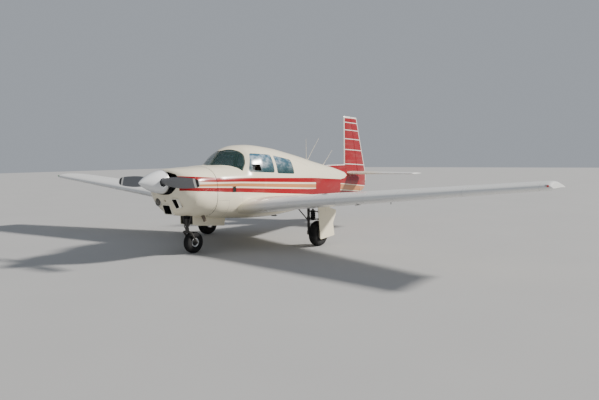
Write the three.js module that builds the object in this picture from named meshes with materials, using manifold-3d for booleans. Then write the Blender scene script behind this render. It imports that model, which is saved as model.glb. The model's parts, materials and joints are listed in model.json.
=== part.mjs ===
// Four-seat low-wing light aircraft with retractable tricycle gear, parked on its wheels.
// Millimetres. +X is the aircraft's left, -Y its nose, +Z up, and the ground is z = 0.
// A station is the distance aft of the spinner's tip. The origin is under the middle of the length.

import * as THREE from 'three';
import { mergeVertices } from 'three/addons/utils/BufferGeometryUtils.js';
import Module from 'manifold-3d';

const wasm = await Module();
wasm.setup();

// Driving dimensions
const LENGTH = 7060;
const SPAN = 10668;
const HEIGHT = 2540;
const TRACK = 2762;
const WHEEL_SIDES = 28;
const NOSE_AXLE = 1060;
const WHEELBASE = 1691;
const MAIN_AXLE = NOSE_AXLE + WHEELBASE;
const THRUST_Z = 1212;

const TOUCH = 0.35;
const MOVING_GAP = 7;
const RING = 32;

// Fuselage, seen as sections that are rounded boxes
const SKIN = 28;
const COWL_SKIN = 6;
const CONE_SKIN = 8;
const COWL_FRONT = 470;
const COWL_SPLIT_Z = 1060;
const BOWL_REAR = 700;
const FIREWALL_FRONT = 1128;
const FIREWALL_THICK = 8;
const CABIN_FRONT = FIREWALL_FRONT + FIREWALL_THICK + 2 * TOUCH;
const CABIN_REAR = 3895;
const CONE_REAR = 6780;
const BULKHEAD = 24;
const FLOOR_TOP = 662;
const FLOOR_THICK = 20;
const FLOOR_PANELS = [[1620, 2020], [3520, 3850]];
const PANEL_HALF = 330;
const PANEL_TOP = FLOOR_TOP + 6;

// Columns: station, bottom z, top z, waist z, half width, power of the lower curve, power of the upper
const FUSELAGE = [
  [470, 722, 1368, 1040, 285, 2.0, 2.5],
  [500, 690, 1392, 1040, 342, 2.0, 2.6],
  [560, 670, 1407, 1040, 416, 2.0, 2.7],
  [620, 660, 1413, 1040, 462, 2.0, 2.75],
  [700, 650, 1418, 1040, 502, 2.05, 2.8],
  [780, 642, 1422, 1038, 515, 2.15, 2.85],
  [900, 628, 1429, 1035, 519, 2.4, 2.9],
  [1130, 602, 1438, 1030, 522, 2.7, 2.9],
  [1248, 580, 1450, 1030, 524, 3.0, 2.8],
  [1364, 562, 1453, 1030, 532, 3.0, 2.8],
  [1487, 545, 1455, 1030, 540, 3.0, 2.8],
  [1637, 529, 1457, 1030, 548, 3.0, 2.8],
  [1830, 511, 1459, 1030, 555, 3.0, 2.8],
  [2299, 470, 1809, 1030, 560, 3.0, 2.5],
  [2925, 450, 1763, 1030, 548, 3.0, 2.4],
  [3321, 462, 1703, 1028, 524, 2.9, 2.3],
  [3900, 500, 1603, 1015, 464, 2.7, 2.2],
  [4387, 536, 1504, 1000, 398, 2.6, 2.2],
  [4925, 576, 1409, 985, 318, 2.5, 2.2],
  [5500, 618, 1325, 965, 224, 2.4, 2.2],
  [6040, 652, 1240, 948, 132, 2.3, 2.2],
  [6800, 680, 1110, 900, 34, 2.2, 2.2],
];

// The canopy stands on the deck ahead of the roof's top. Columns: station, half width at the waist, top z,
// power of its curve
const CANOPY = [
  [1290, 20, 1440, 2.1],
  [1331, 75, 1452, 2.1],
  [1381, 169, 1493, 2.1],
  [1441, 237, 1538, 2.1],
  [1531, 311, 1598, 2.1],
  [1641, 382, 1661, 2.1],
  [1781, 457, 1723, 2.1],
  [1931, 520, 1769, 2.1],
  [2060, 543, 1794, 2.3],
  [2299, 560, 1809, 2.5],
];
const DECK_TOP = 1460;
const CANOPY_BLEND = 30;
// Below this height the nose's face leans aft, which fades out towards the end station
const RAKE = { slope: 0.36, below: 1000, end: 950, fade: 1.3 };

// Window and door outlines as station, z
const WINDSCREEN = [[1326, 1454], [1565, 1450], [1659, 1433], [1753, 1396], [1815, 1338], [1925, 1478],
  [1978, 1624], [1949, 1690], [1854, 1722], [1788, 1716], [1689, 1688], [1600, 1740], [1250, 1560]];
const FRONT_WINDOW = [[1930, 1328], [2622, 1292], [2560, 1630], [2085, 1652]];
const REAR_WINDOW = [[2748, 1276], [3275, 1250], [3196, 1536], [2650, 1622]];
const STORM_WINDOW = [[2045, 1350], [2235, 1340], [2235, 1450], [2045, 1460]];
const CABIN_DOOR = [[1872, 958, 0], [2620, 958, 1], [2560, 1700, 1], [2075, 1700, 0], [1890, 1330, 0]];
const DOOR_HINGE = { station: 1852, x: -568, draft: 0.34, places: [1075, 1225] };
const BAGGAGE_DOOR = [[3370, 1010, 1], [3790, 1010, 1], [3790, 1400, 1], [3370, 1400, 1]];
const BAGGAGE_LEAN = 0.13;
const BAGGAGE_HINGE = { front: [3370, -464], rear: [3790, -399], z: 1416, places: [3450, 3710] };

// Wing
const WING = {
  leading: 1800, glove: 1610, gloveEnd: 1420, rootX: 300, tipX: SPAN / 2,
  rootChord: 1917, tipChord: 990, rootZ: 676, dihedral: THREE.MathUtils.degToRad(5.45),
  rootThick: 0.15, tipThick: 0.12, rootTwist: 2.5, tipTwist: 1.0, camber: 0.018,
  wall: 11, core: [610, 1420, 5150],
};
const FLAP = { from: 640, to: 3290, chord: 0.74, stations: [900, 3050], wall: 7 };
const AILERON = { from: 3330, to: 5060, chord: 0.76, stations: [3560, 4830], wall: 6 };

// Tail
const TAIL = {
  finLeading: 5952, finTopZ: HEIGHT, finBaseZ: 1130, hingeTop: [6285, 2520], hingeBottom: [6720, 670],
  dorsalFront: 5090, dorsalTop: 1388,
  stabLeading: 5945, stabZ: 1180, halfSpan: 1780, stabRoot: 960, stabTip: 535, elevatorHinge: 6370,
};

// Landing gear
const MAIN_WHEEL = { radius: 222.5, width: 158, rim: 92, axle: 15 };
const NOSE_WHEEL = { radius: 178, width: 124, rim: 74, axle: 13 };
const MAIN_X = TRACK / 2;
const LEG_X = MAIN_X - 122;
const LEG_STATION = 2625;
const GEAR_DOOR_X = 1494;
const WELL = {
  front: 2560, rear: 2900, outer: 1450, wheelX: 930, wheelR: 262, ceiling: 790, wall: 14, vent: 24,
};
const NOSE_LEG_STATION = 932;
const NOSE_WELL = { front: 800, rear: 1690, halfWidth: 150 };

// Colours
const paint = (hex, roughness = 0.4, metalness = 0) =>
  new THREE.MeshStandardMaterial({ color: hex, roughness, metalness });
const CREAM = paint(0xe9e5d6);
const WHITE = paint(0xeef0f0);
const RED = paint(0xb5242c);
const STEEL = paint(0x4a4d50, 0.5, 0.6);
const ALUMINIUM = paint(0xb9bdc2, 0.35, 0.8);
const BLADE = paint(0x3b3e42, 0.5, 0.2);
const GLASS = paint(0x5f8f8a, 0.08);
const RUBBER = paint(0x161617, 0.85);
const FABRIC = paint(0x6d5844, 0.9);
const DARK = paint(0x26282b, 0.7);

const { Vector2, Vector3 } = THREE;
const along = (station) => station - LENGTH / 2;
const point = (x, station, z) => new Vector3(x, along(station), z);
const mix = (a, b, t) => a + (b - a) * t;

// A smooth value between the rows of a table, which never overshoots them
function smooth(table, column, at) {
  const last = table.length - 1;
  const clamped = Math.min(Math.max(at, table[0][0]), table[last][0]);
  const slope = (i) => (table[i + 1][column] - table[i][column]) / (table[i + 1][0] - table[i][0]);
  const tangent = (i) => {
    if (i === 0) return slope(0);
    if (i === last) return slope(last - 1);
    const [a, b] = [slope(i - 1), slope(i)];
    return a * b <= 0 ? 0 : (2 * a * b) / (a + b);
  };
  let i = 0;
  while (i < last - 1 && clamped > table[i + 1][0]) i += 1;
  const width = table[i + 1][0] - table[i][0];
  const t = (clamped - table[i][0]) / width;
  const [t2, t3] = [t * t, t * t * t];
  return (2 * t3 - 3 * t2 + 1) * table[i][column] + (t3 - 2 * t2 + t) * width * tangent(i)
    + (3 * t2 - 2 * t3) * table[i + 1][column] + (t3 - t2) * width * tangent(i + 1);
}

// Solids
function signedVolume(positions, index) {
  const [a, b, c] = [new Vector3(), new Vector3(), new Vector3()];
  let total = 0;
  for (let i = 0; i < index.length; i += 3) {
    a.fromArray(positions, 3 * index[i]);
    b.fromArray(positions, 3 * index[i + 1]);
    c.fromArray(positions, 3 * index[i + 2]);
    total += a.dot(b.cross(c));
  }
  return total;
}

function solid(geometry) {
  const bare = geometry.clone();
  const extras = Object.keys(bare.attributes).filter((name) => name !== 'position');
  extras.forEach((name) => bare.deleteAttribute(name));
  const merged = mergeVertices(bare, 1e-3);
  const vertProperties = new Float32Array(merged.attributes.position.array);
  const triVerts = new Uint32Array(merged.index.array);
  if (signedVolume(vertProperties, triVerts) < 0) {
    for (let i = 0; i < triVerts.length; i += 3) {
      [triVerts[i], triVerts[i + 1]] = [triVerts[i + 1], triVerts[i]];
    }
  }
  return new wasm.Manifold(new wasm.Mesh({ numProp: 3, vertProperties, triVerts }));
}

const join = (...solids) => solids.reduce((a, b) => a.add(b));
const cut = (base, ...tools) => tools.reduce((a, b) => a.subtract(b), base);

function geometryOf(body) {
  const mesh = body.getMesh();
  const geometry = new THREE.BufferGeometry();
  geometry.setAttribute('position', new THREE.BufferAttribute(new Float32Array(mesh.vertProperties), 3));
  geometry.setIndex(new THREE.BufferAttribute(new Uint32Array(mesh.triVerts), 1));
  return geometry;
}

// A skin through rings of the same even number of points, each end closed straight across
function loft(rings) {
  const n = rings[0].length;
  const positions = rings.flat().flatMap((p) => [p.x, p.y, p.z]);
  const index = [];
  for (let k = 0; k < rings.length - 1; k += 1) {
    for (let i = 0; i < n; i += 1) {
      const j = (i + 1) % n;
      const [a, b, c, d] = [k * n + i, k * n + j, (k + 1) * n + j, (k + 1) * n + i];
      index.push(a, b, c, a, c, d);
    }
  }
  const cap = (base, flip) => {
    const face = (a, b, c) => index.push(base + a, base + (flip ? c : b), base + (flip ? b : c));
    face(0, n - 1, 1);
    for (let i = 1; i < n / 2 - 1; i += 1) {
      face(i, n - i, i + 1);
      face(i + 1, n - i, n - i - 1);
    }
    face(n / 2 - 1, n / 2 + 1, n / 2);
  };
  cap(0, false);
  cap((rings.length - 1) * n, true);
  const geometry = new THREE.BufferGeometry();
  geometry.setAttribute('position', new THREE.BufferAttribute(new Float32Array(positions), 3));
  geometry.setIndex(index);
  return solid(geometry);
}

// An outline moved along an axis. The outline's points are the other two axes in X, Y, Z order
function prism(axis, outline, from, to) {
  const shape = new THREE.Shape(outline.map(([u, v]) => new Vector2(u, v)));
  const geometry = new THREE.ExtrudeGeometry(shape, { depth: to - from, bevelEnabled: false });
  const place = new THREE.Matrix4();
  if (axis === 'x') place.set(0, 0, 1, from, 1, 0, 0, 0, 0, 1, 0, 0, 0, 0, 0, 1);
  if (axis === 'y') place.set(1, 0, 0, 0, 0, 0, 1, from, 0, 1, 0, 0, 0, 0, 0, 1);
  if (axis === 'z') place.set(1, 0, 0, 0, 0, 1, 0, 0, 0, 0, 1, from, 0, 0, 0, 1);
  return solid(geometry.applyMatrix4(place));
}

const sideOutline = (outline) => outline.map(([station, z]) => [along(station), z]);

// A side outline whose stations lean aft with distance from the middle, cut through one side
function leaningPrism(outline, lean, innerX, outerX) {
  const ring = (x) => outline.map(([station, z, leans]) =>
    point(x, station + (leans ? lean * (Math.abs(x) - Math.abs(innerX)) : 0), z));
  const faces = THREE.ShapeUtils.triangulateShape(outline.map(([u, v]) => new Vector2(u, v)), []);
  const n = outline.length;
  const rings = [ring(innerX), ring(outerX)];
  const index = [];
  for (const [a, b, c] of faces) index.push(a, b, c, n + a, n + c, n + b);
  const turn = THREE.ShapeUtils.isClockWise(outline.map(([u, v]) => new Vector2(u, v))) ? 1 : -1;
  for (let i = 0; i < n; i += 1) {
    const j = (i + 1) % n;
    const quad = turn < 0 ? [i, n + i, n + j, j] : [i, j, n + j, n + i];
    index.push(quad[0], quad[1], quad[2], quad[0], quad[2], quad[3]);
  }
  const geometry = new THREE.BufferGeometry();
  geometry.setAttribute('position',
    new THREE.BufferAttribute(new Float32Array(rings.flat().flatMap((p) => [p.x, p.y, p.z])), 3));
  geometry.setIndex(index);
  return solid(geometry);
}

function block(x0, x1, station0, station1, z0, z1) {
  const geometry = new THREE.BoxGeometry(x1 - x0, station1 - station0, z1 - z0);
  geometry.translate((x0 + x1) / 2, along((station0 + station1) / 2), (z0 + z1) / 2);
  return solid(geometry);
}

// A block on one side of the aircraft, with its distances from the middle
const sideBlock = (side, inner, outer, ...rest) =>
  block(Math.min(side * inner, side * outer), Math.max(side * inner, side * outer), ...rest);

function rod(start, end, radius, sides = 8, endRadius = radius) {
  const direction = end.clone().sub(start);
  const geometry = new THREE.CylinderGeometry(endRadius, radius, direction.length(), sides);
  geometry.translate(0, direction.length() / 2, 0);
  const turn = new THREE.Quaternion().setFromUnitVectors(new Vector3(0, 1, 0), direction.normalize());
  geometry.applyQuaternion(turn);
  geometry.translate(start.x, start.y, start.z);
  return solid(geometry);
}

// A turned solid about an axis through a point. The profile is radius, distance along the axis
function turned(profile, origin, axis, sides) {
  const geometry = new THREE.LatheGeometry(profile.map(([r, d]) => new Vector2(r, d)), sides);
  geometry.applyQuaternion(new THREE.Quaternion().setFromUnitVectors(new Vector3(0, 1, 0), axis));
  geometry.translate(origin.x, origin.y, origin.z);
  return solid(geometry);
}

// Outlines
function rounded(outline, radius, steps = 4) {
  const n = outline.length;
  return outline.flatMap((corner, i) => {
    const here = new Vector2(corner[0], corner[1]);
    const before = new Vector2(...outline[(i + n - 1) % n].slice(0, 2)).sub(here);
    const after = new Vector2(...outline[(i + 1) % n].slice(0, 2)).sub(here);
    const reach = Math.min(radius, before.length() * 0.45, after.length() * 0.45);
    const from = before.normalize().multiplyScalar(reach).add(here);
    const to = after.normalize().multiplyScalar(reach).add(here);
    const curve = new THREE.QuadraticBezierCurve(from, here, to);
    return curve.getPoints(steps).map((p) => [p.x, p.y, ...corner.slice(2)]);
  });
}

function inset(outline, distance) {
  const n = outline.length;
  const area = outline.reduce((sum, [u, v], i) => {
    const next = outline[(i + 1) % n];
    return sum + u * next[1] - next[0] * v;
  }, 0);
  const side = Math.sign(area);
  const edge = (i) => {
    const [a, b] = [outline[(i + n) % n], outline[(i + 1 + n) % n]];
    const d = new Vector2(b[0] - a[0], b[1] - a[1]).normalize();
    const shift = new Vector2(-d.y, d.x).multiplyScalar(side * distance);
    return { at: new Vector2(a[0], a[1]).add(shift), d };
  };
  return outline.map((corner, i) => {
    const [first, second] = [edge(i - 1), edge(i)];
    const cross = first.d.x * second.d.y - first.d.y * second.d.x;
    const gap = second.at.clone().sub(first.at);
    const t = (gap.x * second.d.y - gap.y * second.d.x) / cross;
    return [first.at.x + first.d.x * t, first.at.y + first.d.y * t, ...corner.slice(2)];
  });
}

// Fuselage sections. The canopy is added to the deck by distance from the middle of the waist
const CANOPY_FRONT = CANOPY[0][0];
const CANOPY_REAR = CANOPY[CANOPY.length - 1][0];
function canopyReach(station, waist, depth) {
  if (station <= CANOPY_FRONT || station >= CANOPY_REAR) return () => 0;
  const [half, top, power] = [1, 2, 3].map((c) => smooth(CANOPY, c, station));
  const [wide, tall] = [Math.max(half - depth, 1), top - depth - waist];
  return (cos, sin) => (Math.abs(cos / wide) ** power + Math.abs(sin / tall) ** power) ** (-1 / power);
}

function rakeAt(station, z) {
  const share = Math.min(1, 1 - (station - COWL_FRONT) / (RAKE.end - COWL_FRONT));
  return share <= 0 ? 0 : Math.max(0, RAKE.below - z) * RAKE.slope * share ** RAKE.fade;
}

function fuselageRing(station, depth = 0) {
  const [bottom, roof, waist, half, low, high] = [1, 2, 3, 4, 5, 6].map((c) => smooth(FUSELAGE, c, station));
  const top = station < CANOPY_REAR ? Math.min(roof, DECK_TOP) : roof;
  const canopy = canopyReach(station, waist, depth);
  return Array.from({ length: RING }, (_, i) => {
    const angle = (2 * Math.PI * i) / RING - Math.PI / 2;
    const [c, s] = [Math.cos(angle), Math.sin(angle)];
    const power = s < 0 ? low : high;
    const reach = s < 0 ? waist - bottom - depth : top - depth - waist;
    const x = (half - depth) * Math.sign(c) * Math.abs(c) ** (2 / power);
    const rise = reach * Math.sign(s) * Math.abs(s) ** (2 / power);
    const out = Math.hypot(x, rise);
    const over = s > 0 ? canopy(x / out, rise / out) : 0;
    const longest = Math.max(out, over);
    const grow = over === 0 ? 1 : (longest / out)
      * ((out / longest) ** CANOPY_BLEND + (over / longest) ** CANOPY_BLEND) ** (1 / CANOPY_BLEND);
    const z = waist + rise * grow;
    return point(Math.abs(c) < 1e-9 ? 0 : x * grow, station + rakeAt(station, z), z);
  });
}

const CANOPY_STATIONS = [1331, 1381, 1441, 1531, 1641, 1781, 1931];
const PLAIN_STATIONS = FUSELAGE.map((row) => row[0]).filter((s) => s < CANOPY_FRONT || s >= CANOPY_REAR);
const MAIN_STATIONS = [...PLAIN_STATIONS, ...CANOPY_STATIONS, 2060, 2600].sort((a, b) => a - b);
const FEW_STATIONS = [1248, 1331, 1441, 1560, 1700, 1900, 2299, 2925];
function fuselageSolid(from, to, depth = 0, places = MAIN_STATIONS) {
  const stations = places.filter((s) => s > from + 5 && s < to - 5);
  return loft([from, ...stations, to].map((station) => fuselageRing(station, depth)));
}

const group = new THREE.Group();
function add(name, body, material) {
  const mesh = new THREE.Mesh(body.isBufferGeometry ? body : geometryOf(body), material);
  mesh.name = name;
  group.add(mesh);
  return body;
}

const sides = [['left', 1], ['right', -1]];

// Aerofoil sections of chord 1, leading edge first, over the top to the trailing edge and back underneath
const AIRFOIL = 10;
function skinHeights(u, thickness, camber) {
  const half = 5 * thickness
    * (0.2969 * Math.sqrt(u) - 0.126 * u - 0.3516 * u ** 2 + 0.2843 * u ** 3 - 0.1036 * u ** 4);
  const bend = 4 * camber * u * (1 - u);
  return { upper: bend + half, lower: bend - half, bend, half };
}

function airfoil(thickness, camber) {
  const places = Array.from({ length: AIRFOIL + 1 }, (_, i) => (1 - Math.cos((Math.PI * i) / AIRFOIL)) / 2);
  const upper = places.map((u) => [u, skinHeights(u, thickness, camber).upper]);
  const lower = places.map((u) => [u, skinHeights(u, thickness, camber).lower]);
  return [...upper, ...lower.slice(1, -1).reverse()];
}

// The space inside the skin between two places on the chord
const CORE = 5;
function airfoilCore(thickness, camber, front, rear, wall) {
  const places = Array.from({ length: CORE - 1 }, (_, i) => mix(front, rear, (i + 1) / CORE));
  const upper = places.map((u) => [u, skinHeights(u, thickness, camber).upper - wall]);
  const lower = places.map((u) => [u, skinHeights(u, thickness, camber).lower + wall]);
  const end = (u) => [u, skinHeights(u, thickness, camber).bend];
  return [end(front), ...upper, end(rear), ...lower.reverse()];
}

function wingPlan(x) {
  const t = x / (SPAN / 2);
  const trailing = WING.leading + mix(WING.rootChord, WING.tipChord, t);
  const glove = Math.max(0, (WING.gloveEnd - x) / (WING.gloveEnd - 500));
  const leading = WING.leading - (WING.leading - WING.glove) * glove ** 1.25;
  return { leading, trailing, chord: trailing - leading, z: WING.rootZ + x * Math.tan(WING.dihedral) };
}

function wingPlace(side, x, trim = 0) {
  const plan = wingPlan(x);
  const twist = THREE.MathUtils.degToRad(mix(WING.rootTwist, WING.tipTwist, x / (SPAN / 2)));
  const chord = plan.chord - trim * 1.6;
  return ([u, v]) => {
    const aft = u * chord + trim;
    return point(side * x, plan.leading + aft, plan.z + v * chord - aft * Math.sin(twist));
  };
}

const wingThick = (x) => mix(WING.rootThick, WING.tipThick, x / (SPAN / 2));
const wingRing = (side, x, shrink = 1, trim = 0) =>
  airfoil(wingThick(x) * shrink, WING.camber).map(wingPlace(side, x, trim));
const wingCoreRing = (side, x, front, rear, wall) =>
  airfoilCore(wingThick(x), WING.camber, front, rear, wall / wingPlan(x).chord).map(wingPlace(side, x));

const WING_STATIONS = [WING.rootX, 700, 1060, 1420, 3310, 5190];
const WING_TIP = [[5268, 0.86, 10], [5314, 0.6, 34], [WING.tipX, 0.22, 90]];
const wingSolid = (side) => loft([...WING_STATIONS.map((x) => wingRing(side, x)),
  ...WING_TIP.map(([x, shrink, trim]) => wingRing(side, x, shrink, trim))]);

// The hinge line of a wing surface, halfway up its thickness
function wingHinge(side, x, fraction) {
  const plan = wingPlan(x);
  const station = WING.leading + fraction * (plan.trailing - WING.leading);
  const u = (station - plan.leading) / plan.chord;
  const { bend, half } = skinHeights(u, wingThick(x), WING.camber);
  return { at: wingPlace(side, x)([u, bend]), skin: half * plan.chord };
}

// A point on the straight line through the hinge's two ends
function hingeLine(side, spec, x) {
  const [start, end] = [spec.from, spec.to].map((place) => wingHinge(side, place, spec.chord).at);
  return start.lerp(end, (x - spec.from) / (spec.to - spec.from));
}

// Arms on the carrier with a pin each, and their slots and holes in the moving surface.
// The arms reach back from the hinge line to the carrier, and across is square to both
const ARM = { thick: 8, half: 8, end: 8, pin: 4, play: 0.5, pinHalf: 22 };
const SLOT = { half: 11, behind: 18, ahead: 30, tall: 120, pinHalf: 24 };
function hingeArms(axisAt, places, back, across, reach) {
  const arms = [];
  const slots = [];
  for (const place of places) {
    const middle = axisAt(place);
    const line = axisAt(place + 1).sub(axisAt(place - 1)).normalize();
    const at = (away, side, up) =>
      middle.clone().addScaledVector(back, away).addScaledVector(line, side).addScaledVector(across, up);
    const slab = (half, from, to, tall) => {
      const ring = (away) => [[-half, -tall], [half, -tall], [half, tall], [-half, tall]]
        .map(([side, up]) => at(away, side, up));
      return loft([ring(from), ring(to)]);
    };
    arms.push(slab(ARM.thick / 2, -ARM.end, reach, ARM.half));
    arms.push(rod(at(0, -ARM.pinHalf, 0), at(0, ARM.pinHalf, 0), ARM.pin));
    slots.push(slab(SLOT.half, -SLOT.behind, reach + SLOT.ahead, SLOT.tall));
    slots.push(rod(at(0, -SLOT.pinHalf, 0), at(0, SLOT.pinHalf, 0), ARM.pin + ARM.play));
  }
  return { arms, slots };
}

const FORWARD = new Vector3(0, -1, 0);
const UP = new Vector3(0, 0, 1);
const FAR = 4200;
const SURFACE_NOSE = 0.96;

// A flap or aileron cut from the wing, with a round nose about its hinge line
function wingSurface(side, whole, spec) {
  const line = (x) => hingeLine(side, spec, x);
  const radius = (x) => wingHinge(side, x, spec.chord).skin * SURFACE_NOSE;
  const plan = (x, ahead) => [side * x, line(x).y - ahead];
  const behind = (from, to, aheadFrom, aheadTo) => prism('z',
    [plan(from, aheadFrom), plan(to, aheadTo), [side * to, FAR], [side * from, FAR]], 0, HEIGHT);
  const [inner, outer] = [spec.from - 20, spec.to + 20];
  const span = sideBlock(side, spec.from, spec.to, 0, LENGTH, 0, HEIGHT);
  const nose = rod(line(inner), line(outer), radius(inner), 16, radius(outer)).intersect(span);
  const coreAt = (x) => wingCoreRing(side, x, spec.chord + 0.03, 0.93, spec.wall);
  const core = loft([inner, spec.to - 14].map(coreAt));
  const surface = cut(join(whole.intersect(behind(spec.from, spec.to, 0, 0)), nose), core);
  const [low, high] = [spec.from - MOVING_GAP, spec.to + MOVING_GAP];
  const cove = behind(low, high, radius(low) + MOVING_GAP, radius(high) + MOVING_GAP);
  const { arms, slots } = hingeArms(line, spec.stations, FORWARD, UP, radius(spec.from) + 2 * MOVING_GAP);
  return { surface: cut(surface, ...slots), cove, arms };
}

// Wings with their wheel wells, flaps and ailerons
const fuselageSpace = fuselageSolid(COWL_FRONT, CONE_REAR, -TOUCH);
const wings = {};
for (const [name, side] of sides) {
  const whole = cut(wingSolid(side), fuselageSpace);
  const flap = wingSurface(side, whole, FLAP);
  const aileron = wingSurface(side, whole, AILERON);
  const wheelAt = (z) => point(side * WELL.wheelX, MAIN_AXLE, z);
  const wheelWell = rod(wheelAt(0), wheelAt(WELL.ceiling), WELL.wheelR, 24);
  const legWell = sideBlock(side, WELL.wheelX, WELL.outer, WELL.front, WELL.rear, 0, WELL.ceiling);
  const wellWall = sideBlock(side, WELL.wheelX - WELL.wheelR - WELL.wall, WELL.outer + WELL.wall,
    MAIN_AXLE - WELL.wheelR - WELL.wall, FAR, 0, HEIGHT);
  const core = cut(loft(WING.core.map((x) => wingCoreRing(side, x, 0.05, 0.66, WING.wall))), wellWall);
  const wellVent = rod(
    point(side * WELL.wheelX, 2600, 740), point(side * WELL.wheelX, 2380, 745), WELL.vent);
  const fixed = join(cut(whole, flap.cove, aileron.cove), ...flap.arms, ...aileron.arms);
  wings[name] = cut(fixed, wheelWell, legWell);
  add(`${name}_wing`, cut(wings[name], core, wellVent), WHITE);
  add(`${name}_flap`, flap.surface, WHITE);
  add(`${name}_aileron`, aileron.surface, WHITE);
}

// Door hinges: a plate with a pin on the body, and two knuckles on the door beside it
const KNUCKLE = { plate: 4, half: 12, pin: 4, play: 0.5 };
function doorHinge(axisAt, places, plateAt, knuckleAt) {
  const plates = [];
  const knuckles = [];
  const holes = [];
  for (const place of places) {
    const line = axisAt(place + 1).sub(axisAt(place - 1)).normalize();
    const pinEnd = (distance) => axisAt(place).addScaledVector(line, distance);
    plates.push(plateAt(place, -KNUCKLE.plate, KNUCKLE.plate));
    plates.push(rod(pinEnd(-KNUCKLE.half), pinEnd(KNUCKLE.half), KNUCKLE.pin));
    knuckles.push(knuckleAt(place, -KNUCKLE.half, -KNUCKLE.plate - TOUCH));
    knuckles.push(knuckleAt(place, KNUCKLE.plate + TOUCH, KNUCKLE.half));
    holes.push(rod(pinEnd(-KNUCKLE.half - 3), pinEnd(KNUCKLE.half + 3), KNUCKLE.pin + KNUCKLE.play));
  }
  return { plates, knuckles, holes };
}

// Outlines about the pin: the cabin door's in x and station, the baggage door's in x and z
const DOOR_PLATE = [[-7, -7], [52, -7], [52, 7], [-7, 7]];
const DOOR_KNUCKLE = [[-6, -6], [5, -6], [5, 38], [52, 38], [52, 56], [-6, 56]];
const BAGGAGE_PLATE = [[-7, -6], [3, -6], [52, 24], [52, 38], [-7, 7]];
const BAGGAGE_KNUCKLE = [[-7, 6], [5, 6], [5, -26], [22, -30], [22, -44], [-7, -44]];

const doorAxis = (z) => point(DOOR_HINGE.x, DOOR_HINGE.station, z);
const doorLeaf = (outline) => (place, from, to) =>
  prism('z', outline, from, to).translate(doorAxis(place).toArray());
const cabinDoorHinge = doorHinge(doorAxis, DOOR_HINGE.places, doorLeaf(DOOR_PLATE), doorLeaf(DOOR_KNUCKLE));

const baggageAxis = (station) => {
  const { front, rear, z } = BAGGAGE_HINGE;
  return point(mix(front[1], rear[1], (station - front[0]) / (rear[0] - front[0])), station, z);
};
const baggageLine = baggageAxis(BAGGAGE_HINGE.rear[0]).sub(baggageAxis(BAGGAGE_HINGE.front[0]));
const baggageTurn = -THREE.MathUtils.radToDeg(Math.atan2(baggageLine.x, baggageLine.y));
const baggageLeaf = (outline) => (place, from, to) =>
  prism('y', outline, from, to).rotate([0, 0, baggageTurn]).translate(baggageAxis(place).toArray());
const baggageHinge = doorHinge(baggageAxis, BAGGAGE_HINGE.places, baggageLeaf(BAGGAGE_PLATE),
  baggageLeaf(BAGGAGE_KNUCKLE));

// Cabin: a shell with its windows, doors and nose wheel well cut out
const inside = fuselageSolid(CABIN_FRONT - 40, CABIN_REAR - BULKHEAD, SKIN, FEW_STATIONS);
const shell = cut(fuselageSolid(CABIN_FRONT, CABIN_REAR), inside);
const throughPrism = (outline) => prism('x', sideOutline(outline), -SPAN / 8, SPAN / 8);
const leftPrism = (outline) => prism('x', sideOutline(outline), 0, SPAN / 8);
const windscreenOutline = rounded(WINDSCREEN, 30, 1);
const frontWindow = rounded(FRONT_WINDOW, 70, 3);
const rearWindow = rounded(REAR_WINDOW, 70, 3);
const noseWell = block(-NOSE_WELL.halfWidth, NOSE_WELL.halfWidth, NOSE_WELL.front, NOSE_WELL.rear,
  300, FLOOR_TOP - FLOOR_THICK - 2);
const doorPrism = (gap) => leaningPrism(inset(rounded(CABIN_DOOR, 90), gap), DOOR_HINGE.draft, -250, -640);
const baggagePrism = (gap) => leaningPrism(inset(rounded(BAGGAGE_DOOR, 50), gap), BAGGAGE_LEAN, -300, -640);
const opened = cut(shell, throughPrism(windscreenOutline), leftPrism(frontWindow), throughPrism(rearWindow),
  noseWell, doorPrism(0), baggagePrism(0));
add('cabin_shell', join(opened, ...cabinDoorHinge.plates, ...baggageHinge.plates), CREAM);
const doorPanel = cut(shell.intersect(doorPrism(MOVING_GAP)), throughPrism(frontWindow));
add('cabin_door', cut(join(doorPanel, ...cabinDoorHinge.knuckles), ...cabinDoorHinge.holes), CREAM);
add('baggage_door', cut(join(shell.intersect(baggagePrism(MOVING_GAP)), ...baggageHinge.knuckles),
  ...baggageHinge.holes), CREAM);

// Glass, a little under the skin
const PANE = { depth: 4, inner: 10 };
const pane = cut(fuselageSolid(CABIN_FRONT, CABIN_REAR, PANE.depth),
  fuselageSolid(CABIN_FRONT - 40, CABIN_REAR + 40, PANE.inner));
const sidePane = (outline, side) => pane.intersect(
  prism('x', sideOutline(inset(outline, TOUCH)), side > 0 ? 0 : -SPAN / 8, side > 0 ? SPAN / 8 : 0));
add('windscreen', pane.intersect(throughPrism(inset(windscreenOutline, TOUCH))), GLASS);
add('left_front_window', cut(sidePane(frontWindow, 1), leftPrism(rounded(STORM_WINDOW, 12, 2))), GLASS);
add('cabin_door_window', sidePane(frontWindow, -1), GLASS);
add('left_rear_window', sidePane(rearWindow, 1), GLASS);
add('right_rear_window', sidePane(rearWindow, -1), GLASS);

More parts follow.
